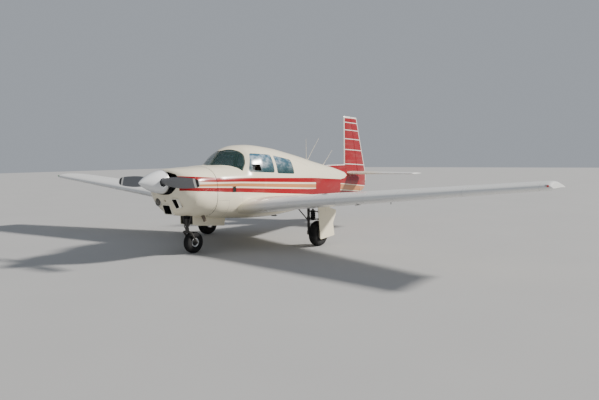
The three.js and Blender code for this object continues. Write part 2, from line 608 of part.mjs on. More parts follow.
// Cabin fittings
const fit = (depth) =>
  fuselageSolid(CABIN_FRONT - 40, CABIN_REAR - BULKHEAD - TOUCH, SKIN + depth, FEW_STATIONS);
const insideFit = fit(TOUCH);
const seatSpace = fit(12);
const WIDE = 600;
const floorPanels = FLOOR_PANELS.map(([front, rear]) =>
  block(-PANEL_HALF, PANEL_HALF, front, rear, FLOOR_TOP - FLOOR_THICK, PANEL_TOP));
add('cabin_floor', insideFit.intersect(join(
  block(-WIDE, WIDE, 1180, 4000, FLOOR_TOP - FLOOR_THICK, FLOOR_TOP), ...floorPanels)), DARK);
const panelFace = insideFit.intersect(block(-WIDE, WIDE, 1500, 1530, 860, 1392));
const glareshield = insideFit.intersect(block(-WIDE, WIDE, 1160, 1570, 1372, 1392));
const yokes = sides.flatMap(([, side]) => [
  rod(point(side * 250, 1520, 1110), point(side * 250, 1740, 1120), 11),
  rod(point(side * 250 - 110, 1740, 1120), point(side * 250 + 110, 1740, 1120), 13),
  rod(point(side * 250 - 110, 1740, 1110), point(side * 250 - 120, 1745, 1210), 13),
  rod(point(side * 250 + 110, 1740, 1110), point(side * 250 + 120, 1745, 1210), 13),
]);
add('instrument_panel', join(panelFace, glareshield, ...yokes), DARK);

const FRONT_SEAT = [[2040, 850], [2090, 905], [2450, 880], [2500, 940], [2590, 1430], [2625, 1450],
  [2680, 1430], [2600, 860], [2560, 760], [2080, 760]];
const REAR_SEAT = [[2900, 830], [2940, 880], [3330, 860], [3370, 920], [3440, 1390], [3500, 1390],
  [3470, 800], [3420, 740], [2940, 740]];
const seat = (outline, from, to, feetFrom, feetTo) => join(
  prism('x', sideOutline(rounded(outline, 30, 2)), from, to),
  block(from + 50, to - 50, feetFrom, feetTo, FLOOR_TOP + TOUCH, 800)).intersect(seatSpace);
for (const [name, side] of sides) {
  const [from, to] = side > 0 ? [35, 485] : [-485, -35];
  add(`${name}_front_seat`, seat(FRONT_SEAT, from, to, 2150, 2500), FABRIC);
}
add('rear_bench', seat(REAR_SEAT, -450, 450, 2990, 3400), FABRIC);

// Cowling, firewall and engine
add('firewall', fuselageSolid(FIREWALL_FRONT + TOUCH, FIREWALL_FRONT + TOUCH + FIREWALL_THICK), STEEL);
const cowlWall = cut(fuselageSolid(COWL_FRONT, FIREWALL_FRONT),
  fuselageSolid(COWL_FRONT + 12, FIREWALL_FRONT + 60, COWL_SKIN));
const slice = (station0, station1, z0, z1) => block(-800, 800, station0, station1, z0, z1);
const noseHole = (outline, radius) =>
  prism('y', rounded(outline, radius, 2), along(COWL_FRONT - 80), along(BOWL_REAR - 20));
const roundHole = (x, z, radius) =>
  rod(point(x, COWL_FRONT - 80, z), point(x, BOWL_REAR - 40, z), radius, 14);
const INLET = [[118, 1130], [150, 1080], [270, 1085], [298, 1150], [298, 1280], [248, 1330], [60, 1368],
  [60, 1332], [118, 1290]];
const inlets = sides.map(([, side]) => noseHole(INLET.map(([x, z]) => [side * x, z]), 30));
const CENTRE_INTAKE = [[-78, 706], [78, 706], [78, 832], [-78, 832]];
const SIDE_INTAKE = [[192, 929], [269, 932], [284, 831], [225, 808]];
const LAMP = [-178, 885, 56];
const bowl = cut(cowlWall.intersect(slice(400, BOWL_REAR, 0, 2000)), ...inlets, noseHole(CENTRE_INTAKE, 14),
  noseHole(SIDE_INTAKE, 12), roundHole(...LAMP), roundHole(0, 913, 12), roundHole(0, THRUST_Z, 95));
add('nose_bowl', bowl, CREAM);
const EXHAUST = { top: point(230, 975, 830), tip: point(262, 1085, 545), radius: 27 };
const exhaustHole = rod(EXHAUST.top, EXHAUST.tip, EXHAUST.radius + TOUCH, 16);
add('lower_cowl', cut(cowlWall.intersect(slice(BOWL_REAR + TOUCH, 1200, 0, COWL_SPLIT_Z)),
  block(-NOSE_WELL.halfWidth, NOSE_WELL.halfWidth, NOSE_WELL.front, 1300, 300, 690), exhaustHole), CREAM);
add('upper_cowl', cowlWall.intersect(slice(BOWL_REAR + TOUCH, 1200, COWL_SPLIT_Z + TOUCH, 2000)), CREAM);

const ENGINE = { front: 665, rear: 1060, half: 365, bottom: 817.5, top: 1250, mountX: 220 };
const CRANK_END = 446;
const SHAFT_RADIUS = 45;
const mountAt = (side, station, z) => point(side * ENGINE.mountX, station, z);
const mounts = [-1, 1].flatMap((side) => [910, 1140].map((z) =>
  rod(mountAt(side, ENGINE.rear - 20, z), mountAt(side, FIREWALL_FRONT, z), 16)));
const cylinders = block(
  -ENGINE.half, ENGINE.half, ENGINE.front, ENGINE.rear, ENGINE.bottom, ENGINE.top);
const crankcase = block(-90, 90, ENGINE.front, ENGINE.rear, ENGINE.top - 20, THRUST_Z + 70);
add('engine_block', join(cylinders, crankcase, ...mounts), ALUMINIUM);
const shaftAt = (station) => point(0, station, THRUST_Z);
add('propeller_shaft', rod(shaftAt(ENGINE.front - TOUCH), shaftAt(CRANK_END), SHAFT_RADIUS, 16), STEEL);
add('exhaust_pipe', cut(rod(EXHAUST.top, EXHAUST.tip, EXHAUST.radius, 16),
  block(100, 400, 800, 1200, ENGINE.bottom - TOUCH, 1000)), STEEL);

// Propeller and spinner
const SPINNER = { length: 440, radius: 184, wall: 8, hubStation: 340, cuff: 62 };
const bluntness = 0.66;
const spinnerRadius = (d) => SPINNER.radius * (1 - (1 - d / SPINNER.length) ** 2) ** bluntness;
const spinnerSteps = [0, 14, 50, 120, 220, 330, 440];
const outerProfile = spinnerSteps.map((d) => [spinnerRadius(d), d]);
const innerSteps = spinnerSteps.filter((d) => d > 30 && d < SPINNER.length);
const innerProfile = innerSteps.map((d) => [spinnerRadius(d) - SPINNER.wall, d]);
const spinnerOrigin = point(0, 0, THRUST_Z);
const AFT = new Vector3(0, 1, 0);
const shellOfSpinner = turned([...outerProfile, [0, 440]], spinnerOrigin, AFT, 24);
const hollow = turned([[0, 30], ...innerProfile, [SPINNER.radius - 10, 434], [0, 434]], spinnerOrigin, AFT,
  24);
const bladeHole = (side, radius) => rod(point(side * 20, SPINNER.hubStation, THRUST_Z),
  point(side * 300, SPINNER.hubStation, THRUST_Z), radius, 20);
add('spinner', cut(shellOfSpinner, hollow, bladeHole(1, SPINNER.cuff + 6), bladeHole(-1, SPINNER.cuff + 6),
  rod(point(0, 420, THRUST_Z), point(0, 460, THRUST_Z), 60 + TOUCH, 20)), WHITE);

// Blade sections. Columns: radius, chord, thickness, pitch in degrees
const BLADE_TABLE = [
  [95, 92, 70, 40],
  [170, 118, 44, 36],
  [300, 146, 26, 29],
  [480, 156, 18, 23],
  [700, 146, 12, 18],
  [880, 122, 9, 15],
  [940, 96, 6, 14],
];
function blade(side) {
  const ring = ([radius, chord, thick, pitch]) => {
    const turn = THREE.MathUtils.degToRad(pitch);
    const outline = Array.from({ length: 12 }, (_, i) => {
      const a = (2 * Math.PI * i) / 12;
      return [Math.cos(a) * chord / 2, Math.sin(a) * thick / 2];
    });
    return outline.map(([c, t]) => point(side * radius,
      SPINNER.hubStation - c * Math.sin(turn) + t * Math.cos(turn),
      THRUST_Z + side * (c * Math.cos(turn) + t * Math.sin(turn))));
  };
  return loft(BLADE_TABLE.map(ring));
}
const bladeRoot = (side) => rod(point(side * 20, SPINNER.hubStation, THRUST_Z),
  point(side * 110, SPINNER.hubStation, THRUST_Z), 44, 16, 38);
add('propeller', join(
  rod(point(0, 262, THRUST_Z), point(0, CRANK_END - TOUCH, THRUST_Z), 60, 20),
  bladeRoot(1), bladeRoot(-1), blade(1), blade(-1)), BLADE);

// Main landing gear
function wheel(name, spec, x, station, rimColour) {
  const axis = new Vector3(1, 0, 0);
  const centre = point(x, station, spec.radius);
  const half = spec.width / 2;
  const bead = spec.rim + TOUCH;
  const tyre = [[bead, -half * 0.72], [mix(spec.rim, spec.radius, 0.55), -half],
    [spec.radius * 0.965, -half * 0.7], [spec.radius, -half * 0.38]];
  const profile = [...tyre, ...tyre.map(([r, d]) => [r, -d]).reverse()];
  add(`${name}_tyre`, turned([...profile, profile[0]], centre, axis, WHEEL_SIDES), RUBBER);
  const bore = spec.axle + TOUCH;
  const rim = [[bore, -half * 0.6], [spec.rim * 0.55, -half * 0.6], [spec.rim * 0.72, -half * 0.82],
    [spec.rim, -half * 0.84]];
  const rimProfile = [...rim, ...rim.map(([r, d]) => [r, -d]).reverse()];
  add(`${name}_rim`, turned([...rimProfile, rimProfile[0]], centre, axis, WHEEL_SIDES), rimColour);
}

const GEAR_DOOR = [[2562, 760], [2640, 134], [3096, 155], [3050, 385], [3150, 545], [3160, 612],
  [2945, 668], [2940, 760]];
const DISC = { x: 1352, station: 2628, radius: 46, neck: 30, pitch: 32, count: 5, bottom: 474 };
for (const [name, side] of sides) {
  const at = (x, station, z) => point(side * x, station, z);
  const stack = [];
  for (let i = 0; i < DISC.count; i += 1) {
    const base = DISC.pitch * i;
    stack.push([DISC.radius, base], [DISC.radius, base + 24], [DISC.neck, base + 25],
      [DISC.neck, base + DISC.pitch - 1]);
  }
  const discs = turned([[0, 0], ...stack, [0, DISC.pitch * DISC.count - 1]],
    at(DISC.x, DISC.station, DISC.bottom), UP, 10);
  const leg = join(
    rod(at(LEG_X, LEG_STATION, 748), at(LEG_X, LEG_STATION, 205), 24),
    rod(at(LEG_X, WELL.front + TOUCH, 735), at(LEG_X, WELL.rear - TOUCH, 735), 18),
    rod(at(LEG_X, LEG_STATION, 235), at(LEG_X, MAIN_AXLE + 14, MAIN_WHEEL.radius), 21),
    rod(at(LEG_X - 24, MAIN_AXLE, MAIN_WHEEL.radius), at(MAIN_X + 40, MAIN_AXLE, MAIN_WHEEL.radius),
      MAIN_WHEEL.axle, 16),
    rod(at(LEG_X, LEG_STATION, 490), at(GEAR_DOOR_X - TOUCH, LEG_STATION + 6, 490), 11),
    rod(at(LEG_X, LEG_STATION, 622), at(GEAR_DOOR_X - TOUCH, LEG_STATION + 6, 622), 11),
    rod(at(LEG_X, LEG_STATION + 10, 440), at(960, LEG_STATION + 14, 715), 12),
    discs);
  add(`${name}_main_leg`, leg, STEEL);
  const doorPlate = prism('x', sideOutline(rounded(GEAR_DOOR, 24)),
    side > 0 ? GEAR_DOOR_X : -GEAR_DOOR_X - 9, side > 0 ? GEAR_DOOR_X + 9 : -GEAR_DOOR_X);
  const clear = wings[name].translate([0, 0, -TOUCH]);
  const above = wings[name].translate([0, 0, 60]);
  add(`${name}_gear_door`, cut(doorPlate, clear, above), WHITE);
  wheel(`${name}_main`, MAIN_WHEEL, side * MAIN_X, MAIN_AXLE, ALUMINIUM);
}

// Nose landing gear
const FORK = { top: 432, bottom: 346, x: 84, bridge: 366, pivot: 15 };
const legAt = (z) => point(0, NOSE_LEG_STATION, z);
// Half width, height at the leg and height at the firewall of each cross tube and its two braces
const TRUSS = [[118, 668, 720, 16], [90, 560, 640, 14]];
const trussTubes = TRUSS.flatMap(([half, z, wallZ, radius]) => {
  const corner = (side) => point(side * half, NOSE_LEG_STATION + 10, z);
  const braces = [-1, 1].map((side) => rod(corner(side), point(side * half, FIREWALL_FRONT, wallZ), 13));
  return [rod(corner(-1), corner(1), radius), ...braces];
});
add('nose_leg', cut(join(
  rod(legAt(700), legAt(FORK.top + TOUCH), 27, 16),
  rod(legAt(480), legAt(FORK.bottom + 14), FORK.pivot, 16),
  ...trussTubes),
  block(-400, 400, FIREWALL_FRONT, 1300, 400, 900)), STEEL);
const bridgeAt = (x) => point(x, NOSE_LEG_STATION, FORK.bridge);
const axleAt = (x) => point(x, NOSE_AXLE, NOSE_WHEEL.radius);
add('nose_fork', cut(join(
  rod(legAt(FORK.bottom), legAt(FORK.top), 33, 20),
  rod(bridgeAt(-FORK.x), bridgeAt(FORK.x), 16),
  ...[-1, 1].map((side) => rod(bridgeAt(side * FORK.x), axleAt(side * FORK.x), 14)),
  rod(axleAt(-FORK.x - 16), axleAt(FORK.x + 16), NOSE_WHEEL.axle, 16)),
  rod(legAt(FORK.bottom + 12), legAt(500), FORK.pivot + TOUCH, 16)), STEEL);
wheel('nose', NOSE_WHEEL, 0, NOSE_AXLE, ALUMINIUM);
const NOSE_DOOR = [[925, 645], [1130, 622], [1680, 548], [1650, 400], [1010, 470], [925, 492]];
for (const [name, side] of sides) {
  const edge = NOSE_WELL.halfWidth - TOUCH;
  const plate = prism('x', sideOutline(NOSE_DOOR), side > 0 ? edge - 6 : -edge, side > 0 ? edge : 6 - edge);
  add(`${name}_nose_gear_door`, cut(plate, block(-200, 200, 1100, 1160, 600, 640)), CREAM);
}

// Tail cone with its dorsal strip, fin and rudder
const hingeStation = (z) => mix(TAIL.hingeBottom[0], TAIL.hingeTop[0],
  (z - TAIL.hingeBottom[1]) / (TAIL.hingeTop[1] - TAIL.hingeBottom[1]));
const rudderAxis = (z) => point(0, hingeStation(z), z);
const uprightRing = (z, trailing, thick) => airfoil(thick, 0).map(([u, v]) => {
  const chord = trailing - TAIL.finLeading;
  return point(v * chord, TAIL.finLeading + u * chord, z);
});
const TRAILING_LOW = 7072;
const TRAILING_TOP = 6575;
const upright = loft([
  uprightRing(600, TRAILING_LOW, 0.088),
  uprightRing(1140, TRAILING_LOW, 0.088),
  uprightRing(HEIGHT - 24, mix(TRAILING_LOW, TRAILING_TOP, 0.985), 0.085),
  uprightRing(HEIGHT, TRAILING_TOP, 0.05),
]);
const RUDDER_NOSE = [40, 22];
const noseRadius = (z) => mix(RUDDER_NOSE[0], RUDDER_NOSE[1], (z - 670) / (2520 - 670));
const hingeAhead = (z, ahead) => [along(hingeStation(z) - ahead), z];
const coveAt = (z) => noseRadius(z) + MOVING_GAP;
const RUDDER_FOOT = 684;
const RUDDER_LOW = [[7060, 1180], [7060, 1010], [7035, 870], [6965, 775], [6850, 712]];
const rudderOutline = [hingeAhead(RUDDER_FOOT, 0), hingeAhead(HEIGHT + 10, 0), [along(7300), HEIGHT + 10],
  [along(7300), 1180], ...sideOutline(RUDDER_LOW)];
const rudderArms = hingeArms(rudderAxis, [820, 1560, 2340], FORWARD, new Vector3(1, 0, 0), 62);
const rudderCoreRing = (z) => {
  const trailing = mix(TRAILING_LOW, TRAILING_TOP, (z - 1140) / (HEIGHT - 1140));
  const chord = trailing - TAIL.finLeading;
  const front = (hingeStation(z) - TAIL.finLeading + 12) / chord;
  return airfoilCore(0.086, 0, front, 0.93, 4 / chord)
    .map(([u, v]) => point(v * chord, TAIL.finLeading + u * chord, z));
};
const rudderCore = loft([rudderCoreRing(1150), rudderCoreRing(HEIGHT + 20)]);
add('rudder', cut(join(upright.intersect(prism('x', rudderOutline, -200, 200)),
  rod(rudderAxis(700), rudderAxis(HEIGHT - 6), noseRadius(700), 18, noseRadius(HEIGHT))),
  rudderCore, ...rudderArms.slots), RED);
const aheadOfRudder = prism('x', [hingeAhead(500, coveAt(500)), hingeAhead(2700, coveAt(2700)),
  [along(3000), 2700], [along(3000), 500]], -700, 700);
const dorsalRing = (station, half) => [[-1, 1230], [1, 1230], [0.6, TAIL.dorsalTop], [-0.6, TAIL.dorsalTop]]
  .map(([share, z]) => point(share * half, station, z));
const dorsal = loft([dorsalRing(TAIL.dorsalFront, 14), dorsalRing(5500, 34),
  dorsalRing(TAIL.finLeading - TOUCH, 26)]);
const arms = (list, from, to) => list.slice(from * 2, to * 2);
const coneSpace = fuselageSolid(CABIN_REAR - 60, 6460, CONE_SKIN, [4387, 4925, 5500, 6040]);
const cone = fuselageSolid(CABIN_REAR + TOUCH, CONE_REAR).intersect(aheadOfRudder);
add('tail_cone', join(cut(join(cone, dorsal), coneSpace), ...arms(rudderArms.arms, 0, 1)), CREAM);
const finCoreRing = (z, rear) => {
  const chord = mix(TRAILING_LOW, TRAILING_TOP, (z - 1140) / (HEIGHT - 1140)) - TAIL.finLeading;
  return airfoilCore(0.086, 0, 0.06, rear, 5 / chord)
    .map(([u, v]) => point(v * chord, TAIL.finLeading + u * chord, z));
};
const finCore = loft([finCoreRing(1120, 0.52), finCoreRing(HEIGHT - 60, 0.46)]);
const aboveBase = block(-200, 200, 5900, 7000, TAIL.finBaseZ, 2600);
const finSolid = upright.intersect(aheadOfRudder).intersect(aboveBase);
add('fin', join(cut(finSolid, fuselageSpace, finCore), ...arms(rudderArms.arms, 1, 3)), RED);

// Stabiliser and elevator halves
const stabRing = (side, x, trim = 0, shrink = 1) => {
  const chord = mix(TAIL.stabRoot, TAIL.stabTip, x / TAIL.halfSpan) - trim * 1.6;
  return airfoil(0.088 * shrink, 0)
    .map(([u, v]) => point(side * x, TAIL.stabLeading + trim + u * chord, TAIL.stabZ + v * chord));
};
const ELEVATOR_ROOT = [[100, 6325], [215, 6910]];
const ELEVATOR_TIP = 1730;
const BEYOND = 1900;
for (const [name, side] of sides) {
  const whole = loft([stabRing(side, 56), stabRing(side, 1690), stabRing(side, 1752, 10, 0.85),
    stabRing(side, TAIL.halfSpan, 50, 0.4)]);
  const radius = (x) => mix(38, 12, x / TAIL.halfSpan);
  const axis = (x) => point(side * x, TAIL.elevatorHinge, TAIL.stabZ);
  const [rootFront, rootRear] = ELEVATOR_ROOT;
  const zone = prism('z', [[side * rootFront[0], along(TAIL.elevatorHinge)],
    [side * rootRear[0], along(rootRear[1])], [side * BEYOND, along(rootRear[1])],
    [side * BEYOND, along(TAIL.elevatorHinge)]], 900, 1500);
  const outer = sideBlock(side, ELEVATOR_TIP, BEYOND, 6000, 7000, 900, 1500);
  const { arms: elevatorArms, slots } = hingeArms(axis, [340, 1500], FORWARD, UP, 56);
  const nose = rod(axis(rootFront[0] + 8), axis(ELEVATOR_TIP), radius(100), 18, radius(ELEVATOR_TIP));
  add(`${name}_elevator`, cut(join(cut(whole.intersect(zone), outer), nose), ...slots), WHITE);
  const gapX = ELEVATOR_TIP + MOVING_GAP;
  const fixed = prism('z', [[0, along(5800)], [0, along(TAIL.elevatorHinge) - radius(0) - MOVING_GAP],
    [side * gapX, along(TAIL.elevatorHinge) - radius(ELEVATOR_TIP) - MOVING_GAP],
    [side * gapX, along(7000)], [side * BEYOND, along(7000)], [side * BEYOND, along(5800)]], 900, 1500);
  const coreRing = (x, rear) => {
    const chord = mix(TAIL.stabRoot, TAIL.stabTip, x / TAIL.halfSpan);
    return airfoilCore(0.088, 0, 0.06, rear, 5 / chord)
      .map(([u, v]) => point(side * x, TAIL.stabLeading + u * chord, TAIL.stabZ + v * chord));
  };
  const core = loft([coreRing(40, 0.37), coreRing(1680, 0.6)]);
  add(`${name}_stabiliser`, join(cut(whole.intersect(fixed), fuselageSpace, core), ...elevatorArms), WHITE);
}

// Antennas and the boarding step
add('front_antenna', join(cut(block(-16, 16, 4360, 4450, 1440, 1512), fuselageSpace),
  rod(point(0, 4425, 1505), point(0, 4893, 2000), 3.5, 6),
  rod(point(0, 4385, 1505), point(0, 4385, 1960), 2.5, 6)), WHITE);
add('rear_antenna', join(cut(block(-14, 14, 5030, 5086, 1350, 1415), fuselageSpace),
  rod(point(0, 5070, 1405), point(0, 5437, 1724), 3.5, 6)), WHITE);
add('boarding_step', join(cut(rod(point(-350, 3770, 660), point(-440, 3830, 330), 14), fuselageSpace),
  block(-520, -410, 3790, 3870, 320, 334)), STEEL);

export default group;
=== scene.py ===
import json
from math import cos, pi, radians, sin, sqrt, tan

import bmesh
import bpy
import numpy as np
from mathutils import Matrix, Vector
from mathutils.bvhtree import BVHTree


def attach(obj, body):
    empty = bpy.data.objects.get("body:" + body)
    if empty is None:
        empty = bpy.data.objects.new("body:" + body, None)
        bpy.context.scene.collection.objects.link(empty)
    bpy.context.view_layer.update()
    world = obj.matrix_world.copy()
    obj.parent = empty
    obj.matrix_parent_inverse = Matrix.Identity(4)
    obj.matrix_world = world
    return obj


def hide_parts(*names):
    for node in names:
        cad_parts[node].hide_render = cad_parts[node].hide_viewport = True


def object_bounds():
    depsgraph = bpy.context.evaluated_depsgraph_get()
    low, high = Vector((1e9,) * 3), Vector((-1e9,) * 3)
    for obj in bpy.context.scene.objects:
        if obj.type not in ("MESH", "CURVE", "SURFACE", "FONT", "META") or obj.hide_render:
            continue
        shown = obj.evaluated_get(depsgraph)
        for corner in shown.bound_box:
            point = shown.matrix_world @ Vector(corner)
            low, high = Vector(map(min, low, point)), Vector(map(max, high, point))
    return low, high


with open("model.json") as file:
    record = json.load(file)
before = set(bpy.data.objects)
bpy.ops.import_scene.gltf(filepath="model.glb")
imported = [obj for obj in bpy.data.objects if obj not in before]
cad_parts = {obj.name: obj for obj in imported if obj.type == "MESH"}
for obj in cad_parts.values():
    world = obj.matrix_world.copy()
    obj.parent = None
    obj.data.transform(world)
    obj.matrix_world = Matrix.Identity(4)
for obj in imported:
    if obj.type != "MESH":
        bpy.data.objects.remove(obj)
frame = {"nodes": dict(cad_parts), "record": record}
cad_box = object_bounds()

# Metres, +X to the aircraft's left, +Z up. A station is the distance aft of the spinner's tip
NOSE_Y = cad_box[0][1]
SPAN_HALF = cad_box[1][0]
TOP_Z = cad_box[1][2]
SIDES = (("left", 1), ("right", -1))
JOINTS = {joint["name"]: joint for joint in frame["record"]["behaviour"]["joints"]}

# Fuselage
COWL_FRONT = 0.47
BOWL_REAR = 0.7
FIREWALL = 1.128
CABIN_REAR = 3.895
TAIL_END = 6.78
COWL_SPLIT_Z = 1.06
FLOOR_TOP = 0.662
SKIN = 0.028
COWL_SKIN = 0.006
SEAM = 0.0012
DOOR_GAP = 0.005

# Columns: station, bottom z, top z, waist z, half width, power of the lower curve, power of the upper
FUSELAGE = np.array([
    [0.470, 0.722, 1.368, 1.040, 0.285, 2.0, 2.5],
    [0.500, 0.690, 1.392, 1.040, 0.342, 2.0, 2.6],
    [0.560, 0.670, 1.407, 1.040, 0.416, 2.0, 2.7],
    [0.620, 0.660, 1.413, 1.040, 0.462, 2.0, 2.75],
    [0.700, 0.650, 1.418, 1.040, 0.502, 2.05, 2.8],
    [0.780, 0.642, 1.422, 1.038, 0.515, 2.15, 2.85],
    [0.900, 0.628, 1.429, 1.035, 0.519, 2.4, 2.9],
    [1.130, 0.602, 1.438, 1.030, 0.522, 2.7, 2.9],
    [1.248, 0.580, 1.450, 1.030, 0.524, 3.0, 2.8],
    [1.364, 0.562, 1.453, 1.030, 0.532, 3.0, 2.8],
    [1.487, 0.545, 1.455, 1.030, 0.540, 3.0, 2.8],
    [1.637, 0.529, 1.457, 1.030, 0.548, 3.0, 2.8],
    [1.830, 0.511, 1.459, 1.030, 0.555, 3.0, 2.8],
    [2.299, 0.470, 1.809, 1.030, 0.560, 3.0, 2.5],
    [2.925, 0.450, 1.763, 1.030, 0.548, 3.0, 2.4],
    [3.321, 0.462, 1.703, 1.028, 0.524, 2.9, 2.3],
    [3.900, 0.500, 1.603, 1.015, 0.464, 2.7, 2.2],
    [4.387, 0.536, 1.504, 1.000, 0.398, 2.6, 2.2],
    [4.925, 0.576, 1.409, 0.985, 0.318, 2.5, 2.2],
    [5.500, 0.618, 1.325, 0.965, 0.224, 2.4, 2.2],
    [6.040, 0.652, 1.240, 0.948, 0.132, 2.3, 2.2],
    [6.800, 0.680, 1.110, 0.900, 0.034, 2.2, 2.2],
])

# The canopy stands on the deck. Columns: station, half width at the waist, top z, power of its curve
CANOPY = np.array([
    [1.290, 0.020, 1.440, 2.1],
    [1.331, 0.075, 1.452, 2.1],
    [1.381, 0.169, 1.493, 2.1],
    [1.441, 0.237, 1.538, 2.1],
    [1.531, 0.311, 1.598, 2.1],
    [1.641, 0.382, 1.661, 2.1],
    [1.781, 0.457, 1.723, 2.1],
    [1.931, 0.520, 1.769, 2.1],
    [2.060, 0.543, 1.794, 2.3],
    [2.299, 0.560, 1.809, 2.5],
])
DECK_TOP = 1.46
CANOPY_BLEND = 30
# Below this height the nose's face leans aft, which fades out towards the end station
RAKE = {"slope": 0.36, "below": 1.0, "end": 0.95, "fade": 1.3}

# Window and door outlines as station, z
WINDSCREEN = [[1.326, 1.454], [1.565, 1.45], [1.659, 1.433], [1.753, 1.396], [1.815, 1.338], [1.925, 1.478],
              [1.978, 1.624], [1.949, 1.69], [1.854, 1.722], [1.788, 1.716], [1.689, 1.688], [1.6, 1.74],
              [1.25, 1.56]]
DOOR_WINDOW = [[1.93, 1.328], [2.622, 1.292], [2.56, 1.63], [2.085, 1.652]]
RIGHT_REAR_WINDOW = [[2.748, 1.276], [3.275, 1.25], [3.196, 1.536], [2.65, 1.622]]
FRONT_WINDOW = [[1.93, 1.328], [2.6, 1.292], [2.622, 1.625], [2.085, 1.652]]
REAR_WINDOW = [[2.676, 1.28], [3.245, 1.25], [3.255, 1.525], [2.698, 1.612]]
WINDOW_CORNER = 0.045
STORM_WINDOW = [[2.045, 1.35], [2.235, 1.34], [2.235, 1.45], [2.045, 1.46]]
CABIN_DOOR = [[1.872, 0.958], [2.62, 0.958], [2.56, 1.7], [2.075, 1.7], [1.89, 1.33]]
BAGGAGE_DOOR = [[3.37, 1.01], [3.79, 1.01], [3.79, 1.4], [3.37, 1.4]]

# Wing
WING_LEADING = 1.8
GLOVE_LEADING = 1.61
GLOVE_END = 1.42
WING_ROOT_X = 0.3
ROOT_CHORD = 1.917
TIP_CHORD = 0.99
ROOT_Z = 0.676
DIHEDRAL = radians(5.45)
WING_THICK = (0.15, 0.12)
WING_TWIST = (2.5, 1.0)
WING_CAMBER = 0.018
TIP_START = 5.19
TIP_DROOP = 0.034
FLAP = {"from": 0.64, "to": 3.29, "chord": 0.74, "nose": 0.96}
AILERON = {"from": 3.33, "to": 5.06, "chord": 0.76, "nose": 0.96}
MOVING_GAP = 0.007

# Tail
FIN_LEADING = 5.952
FIN_BASE_Z = 1.13
RUDDER_HINGE = ((6.72, 0.67), (6.285, 2.52))
TRAILING_LOW = 7.06
TRAILING_TOP = 6.575
DORSAL_FRONT = 5.09
DORSAL_TOP = 1.388
STAB_LEADING = 5.945
STAB_Z = 1.18
STAB_HALF = 1.78
STAB_ROOT = 0.96
STAB_TIP = 0.535
ELEVATOR_HINGE = 6.37


def mix(a, b, t):
    return a + (b - a) * t


def at(x, station, z):
    return Vector((x, NOSE_Y + station, z))


def smooth(table, column, station):
    """A smooth value between the rows of a table, which never overshoots them."""
    places = table[:, 0]
    values = table[:, column]
    slopes = np.diff(values) / np.diff(places)
    product = slopes[:-1] * slopes[1:]
    middle = np.where(product > 0, 2 * product / np.where(product > 0, slopes[:-1] + slopes[1:], 1), 0)
    tangents = np.concatenate([slopes[:1], middle, slopes[-1:]])
    station = min(max(station, places[0]), places[-1])
    i = min(max(int(np.searchsorted(places, station)) - 1, 0), len(places) - 2)
    width = places[i + 1] - places[i]
    t = (station - places[i]) / width
    return ((2 * t**3 - 3 * t**2 + 1) * values[i] + (t**3 - 2 * t**2 + t) * width * tangents[i] +
            (3 * t**2 - 2 * t**3) * values[i + 1] + (t**3 - t**2) * width * tangents[i + 1])


def circle(count):
    """Angles of evenly spaced points round a circle."""
    return np.linspace(0, 2 * pi, count, endpoint=False)


def new_object(name, data):
    made = bpy.data.objects.new(name, data)
    bpy.context.scene.collection.objects.link(made)
    return made


# Meshes
def mesh_object(name, vertices, faces):
    mesh = bpy.data.meshes.new(name)
    mesh.from_pydata([tuple(v) for v in vertices], [], faces)
    mesh.update()
    return new_object(name, mesh)


def quads(rows, size, wrapped=False):
    """The faces between rows of points that each go round a ring."""
    faces = []
    for k in range(rows if wrapped else rows - 1):
        n = (k + 1) % rows
        for i in range(size):
            j = (i + 1) % size
            faces.append((k * size + i, k * size + j, n * size + j, n * size + i))
    return faces


def loft(name, rings):
    """A skin through rings of points. Each end is closed by one face."""
    rings = np.asarray(rings, float)
    count, size = rings.shape[:2]
    ends = [tuple(range(size - 1, -1, -1)), tuple((count - 1) * size + i for i in range(size))]
    return face_outwards(mesh_object(name, rings.reshape(-1, 3), quads(count, size) + ends))


def pipe(name, outer, inner):
    """A wall between outer and inner rings, open at both ends."""
    loop = np.concatenate([outer, inner[::-1]])
    return face_outwards(mesh_object(name, loop.reshape(-1, 3), quads(len(loop), len(outer[0]), True)))


def face_outwards(piece):
    work = bmesh.new()
    work.from_mesh(piece.data)
    bmesh.ops.recalc_face_normals(work, faces=work.faces)
    work.to_mesh(piece.data)
    work.free()
    return piece


def settle(piece):
    """Makes what the modifiers show the piece's own mesh, and removes them."""
    shown = piece.evaluated_get(bpy.context.evaluated_depsgraph_get())
    mesh = bpy.data.meshes.new_from_object(shown)
    piece.modifiers.clear()
    piece.data = mesh
    return piece


def carve(piece, *tools, operation="DIFFERENCE", keep=False):
    for tool in tools:
        step = piece.modifiers.new("carve", "BOOLEAN")
        step.operation = operation
        step.solver = "MANIFOLD"
        step.object = tool
    settle(piece)
    if not keep:
        for tool in tools:
            bpy.data.objects.remove(tool)
    return piece


def merge(name, *pieces):
    """Several pieces as one mesh. They stay separate shells in it."""
    work = bmesh.new()
    for piece in pieces:
        work.from_mesh(piece.data)
        bpy.data.objects.remove(piece)
    mesh = bpy.data.meshes.new(name)
    work.to_mesh(mesh)
    work.free()
    return new_object(name, mesh)


def prism(name, axis, outline, low, high):
    """An outline moved along an axis. Its points are the other two axes in X, Y, Z order."""
    order = {"x": (2, 0, 1), "y": (0, 2, 1), "z": (0, 1, 2)}[axis]
    return loft(name, [[[(u, v, depth)[i] for i in order] for u, v in outline] for depth in (low, high)])


def side_prism(name, outline, low, high):
    return prism(name, "x", [(NOSE_Y + station, z) for station, z in outline], low, high)


def box(name, x, station, z):
    return prism(name, "z", [(x[0], NOSE_Y + station[0]), (x[1], NOSE_Y + station[0]),
            (x[1], NOSE_Y + station[1]), (x[0], NOSE_Y + station[1])], z[0], z[1])


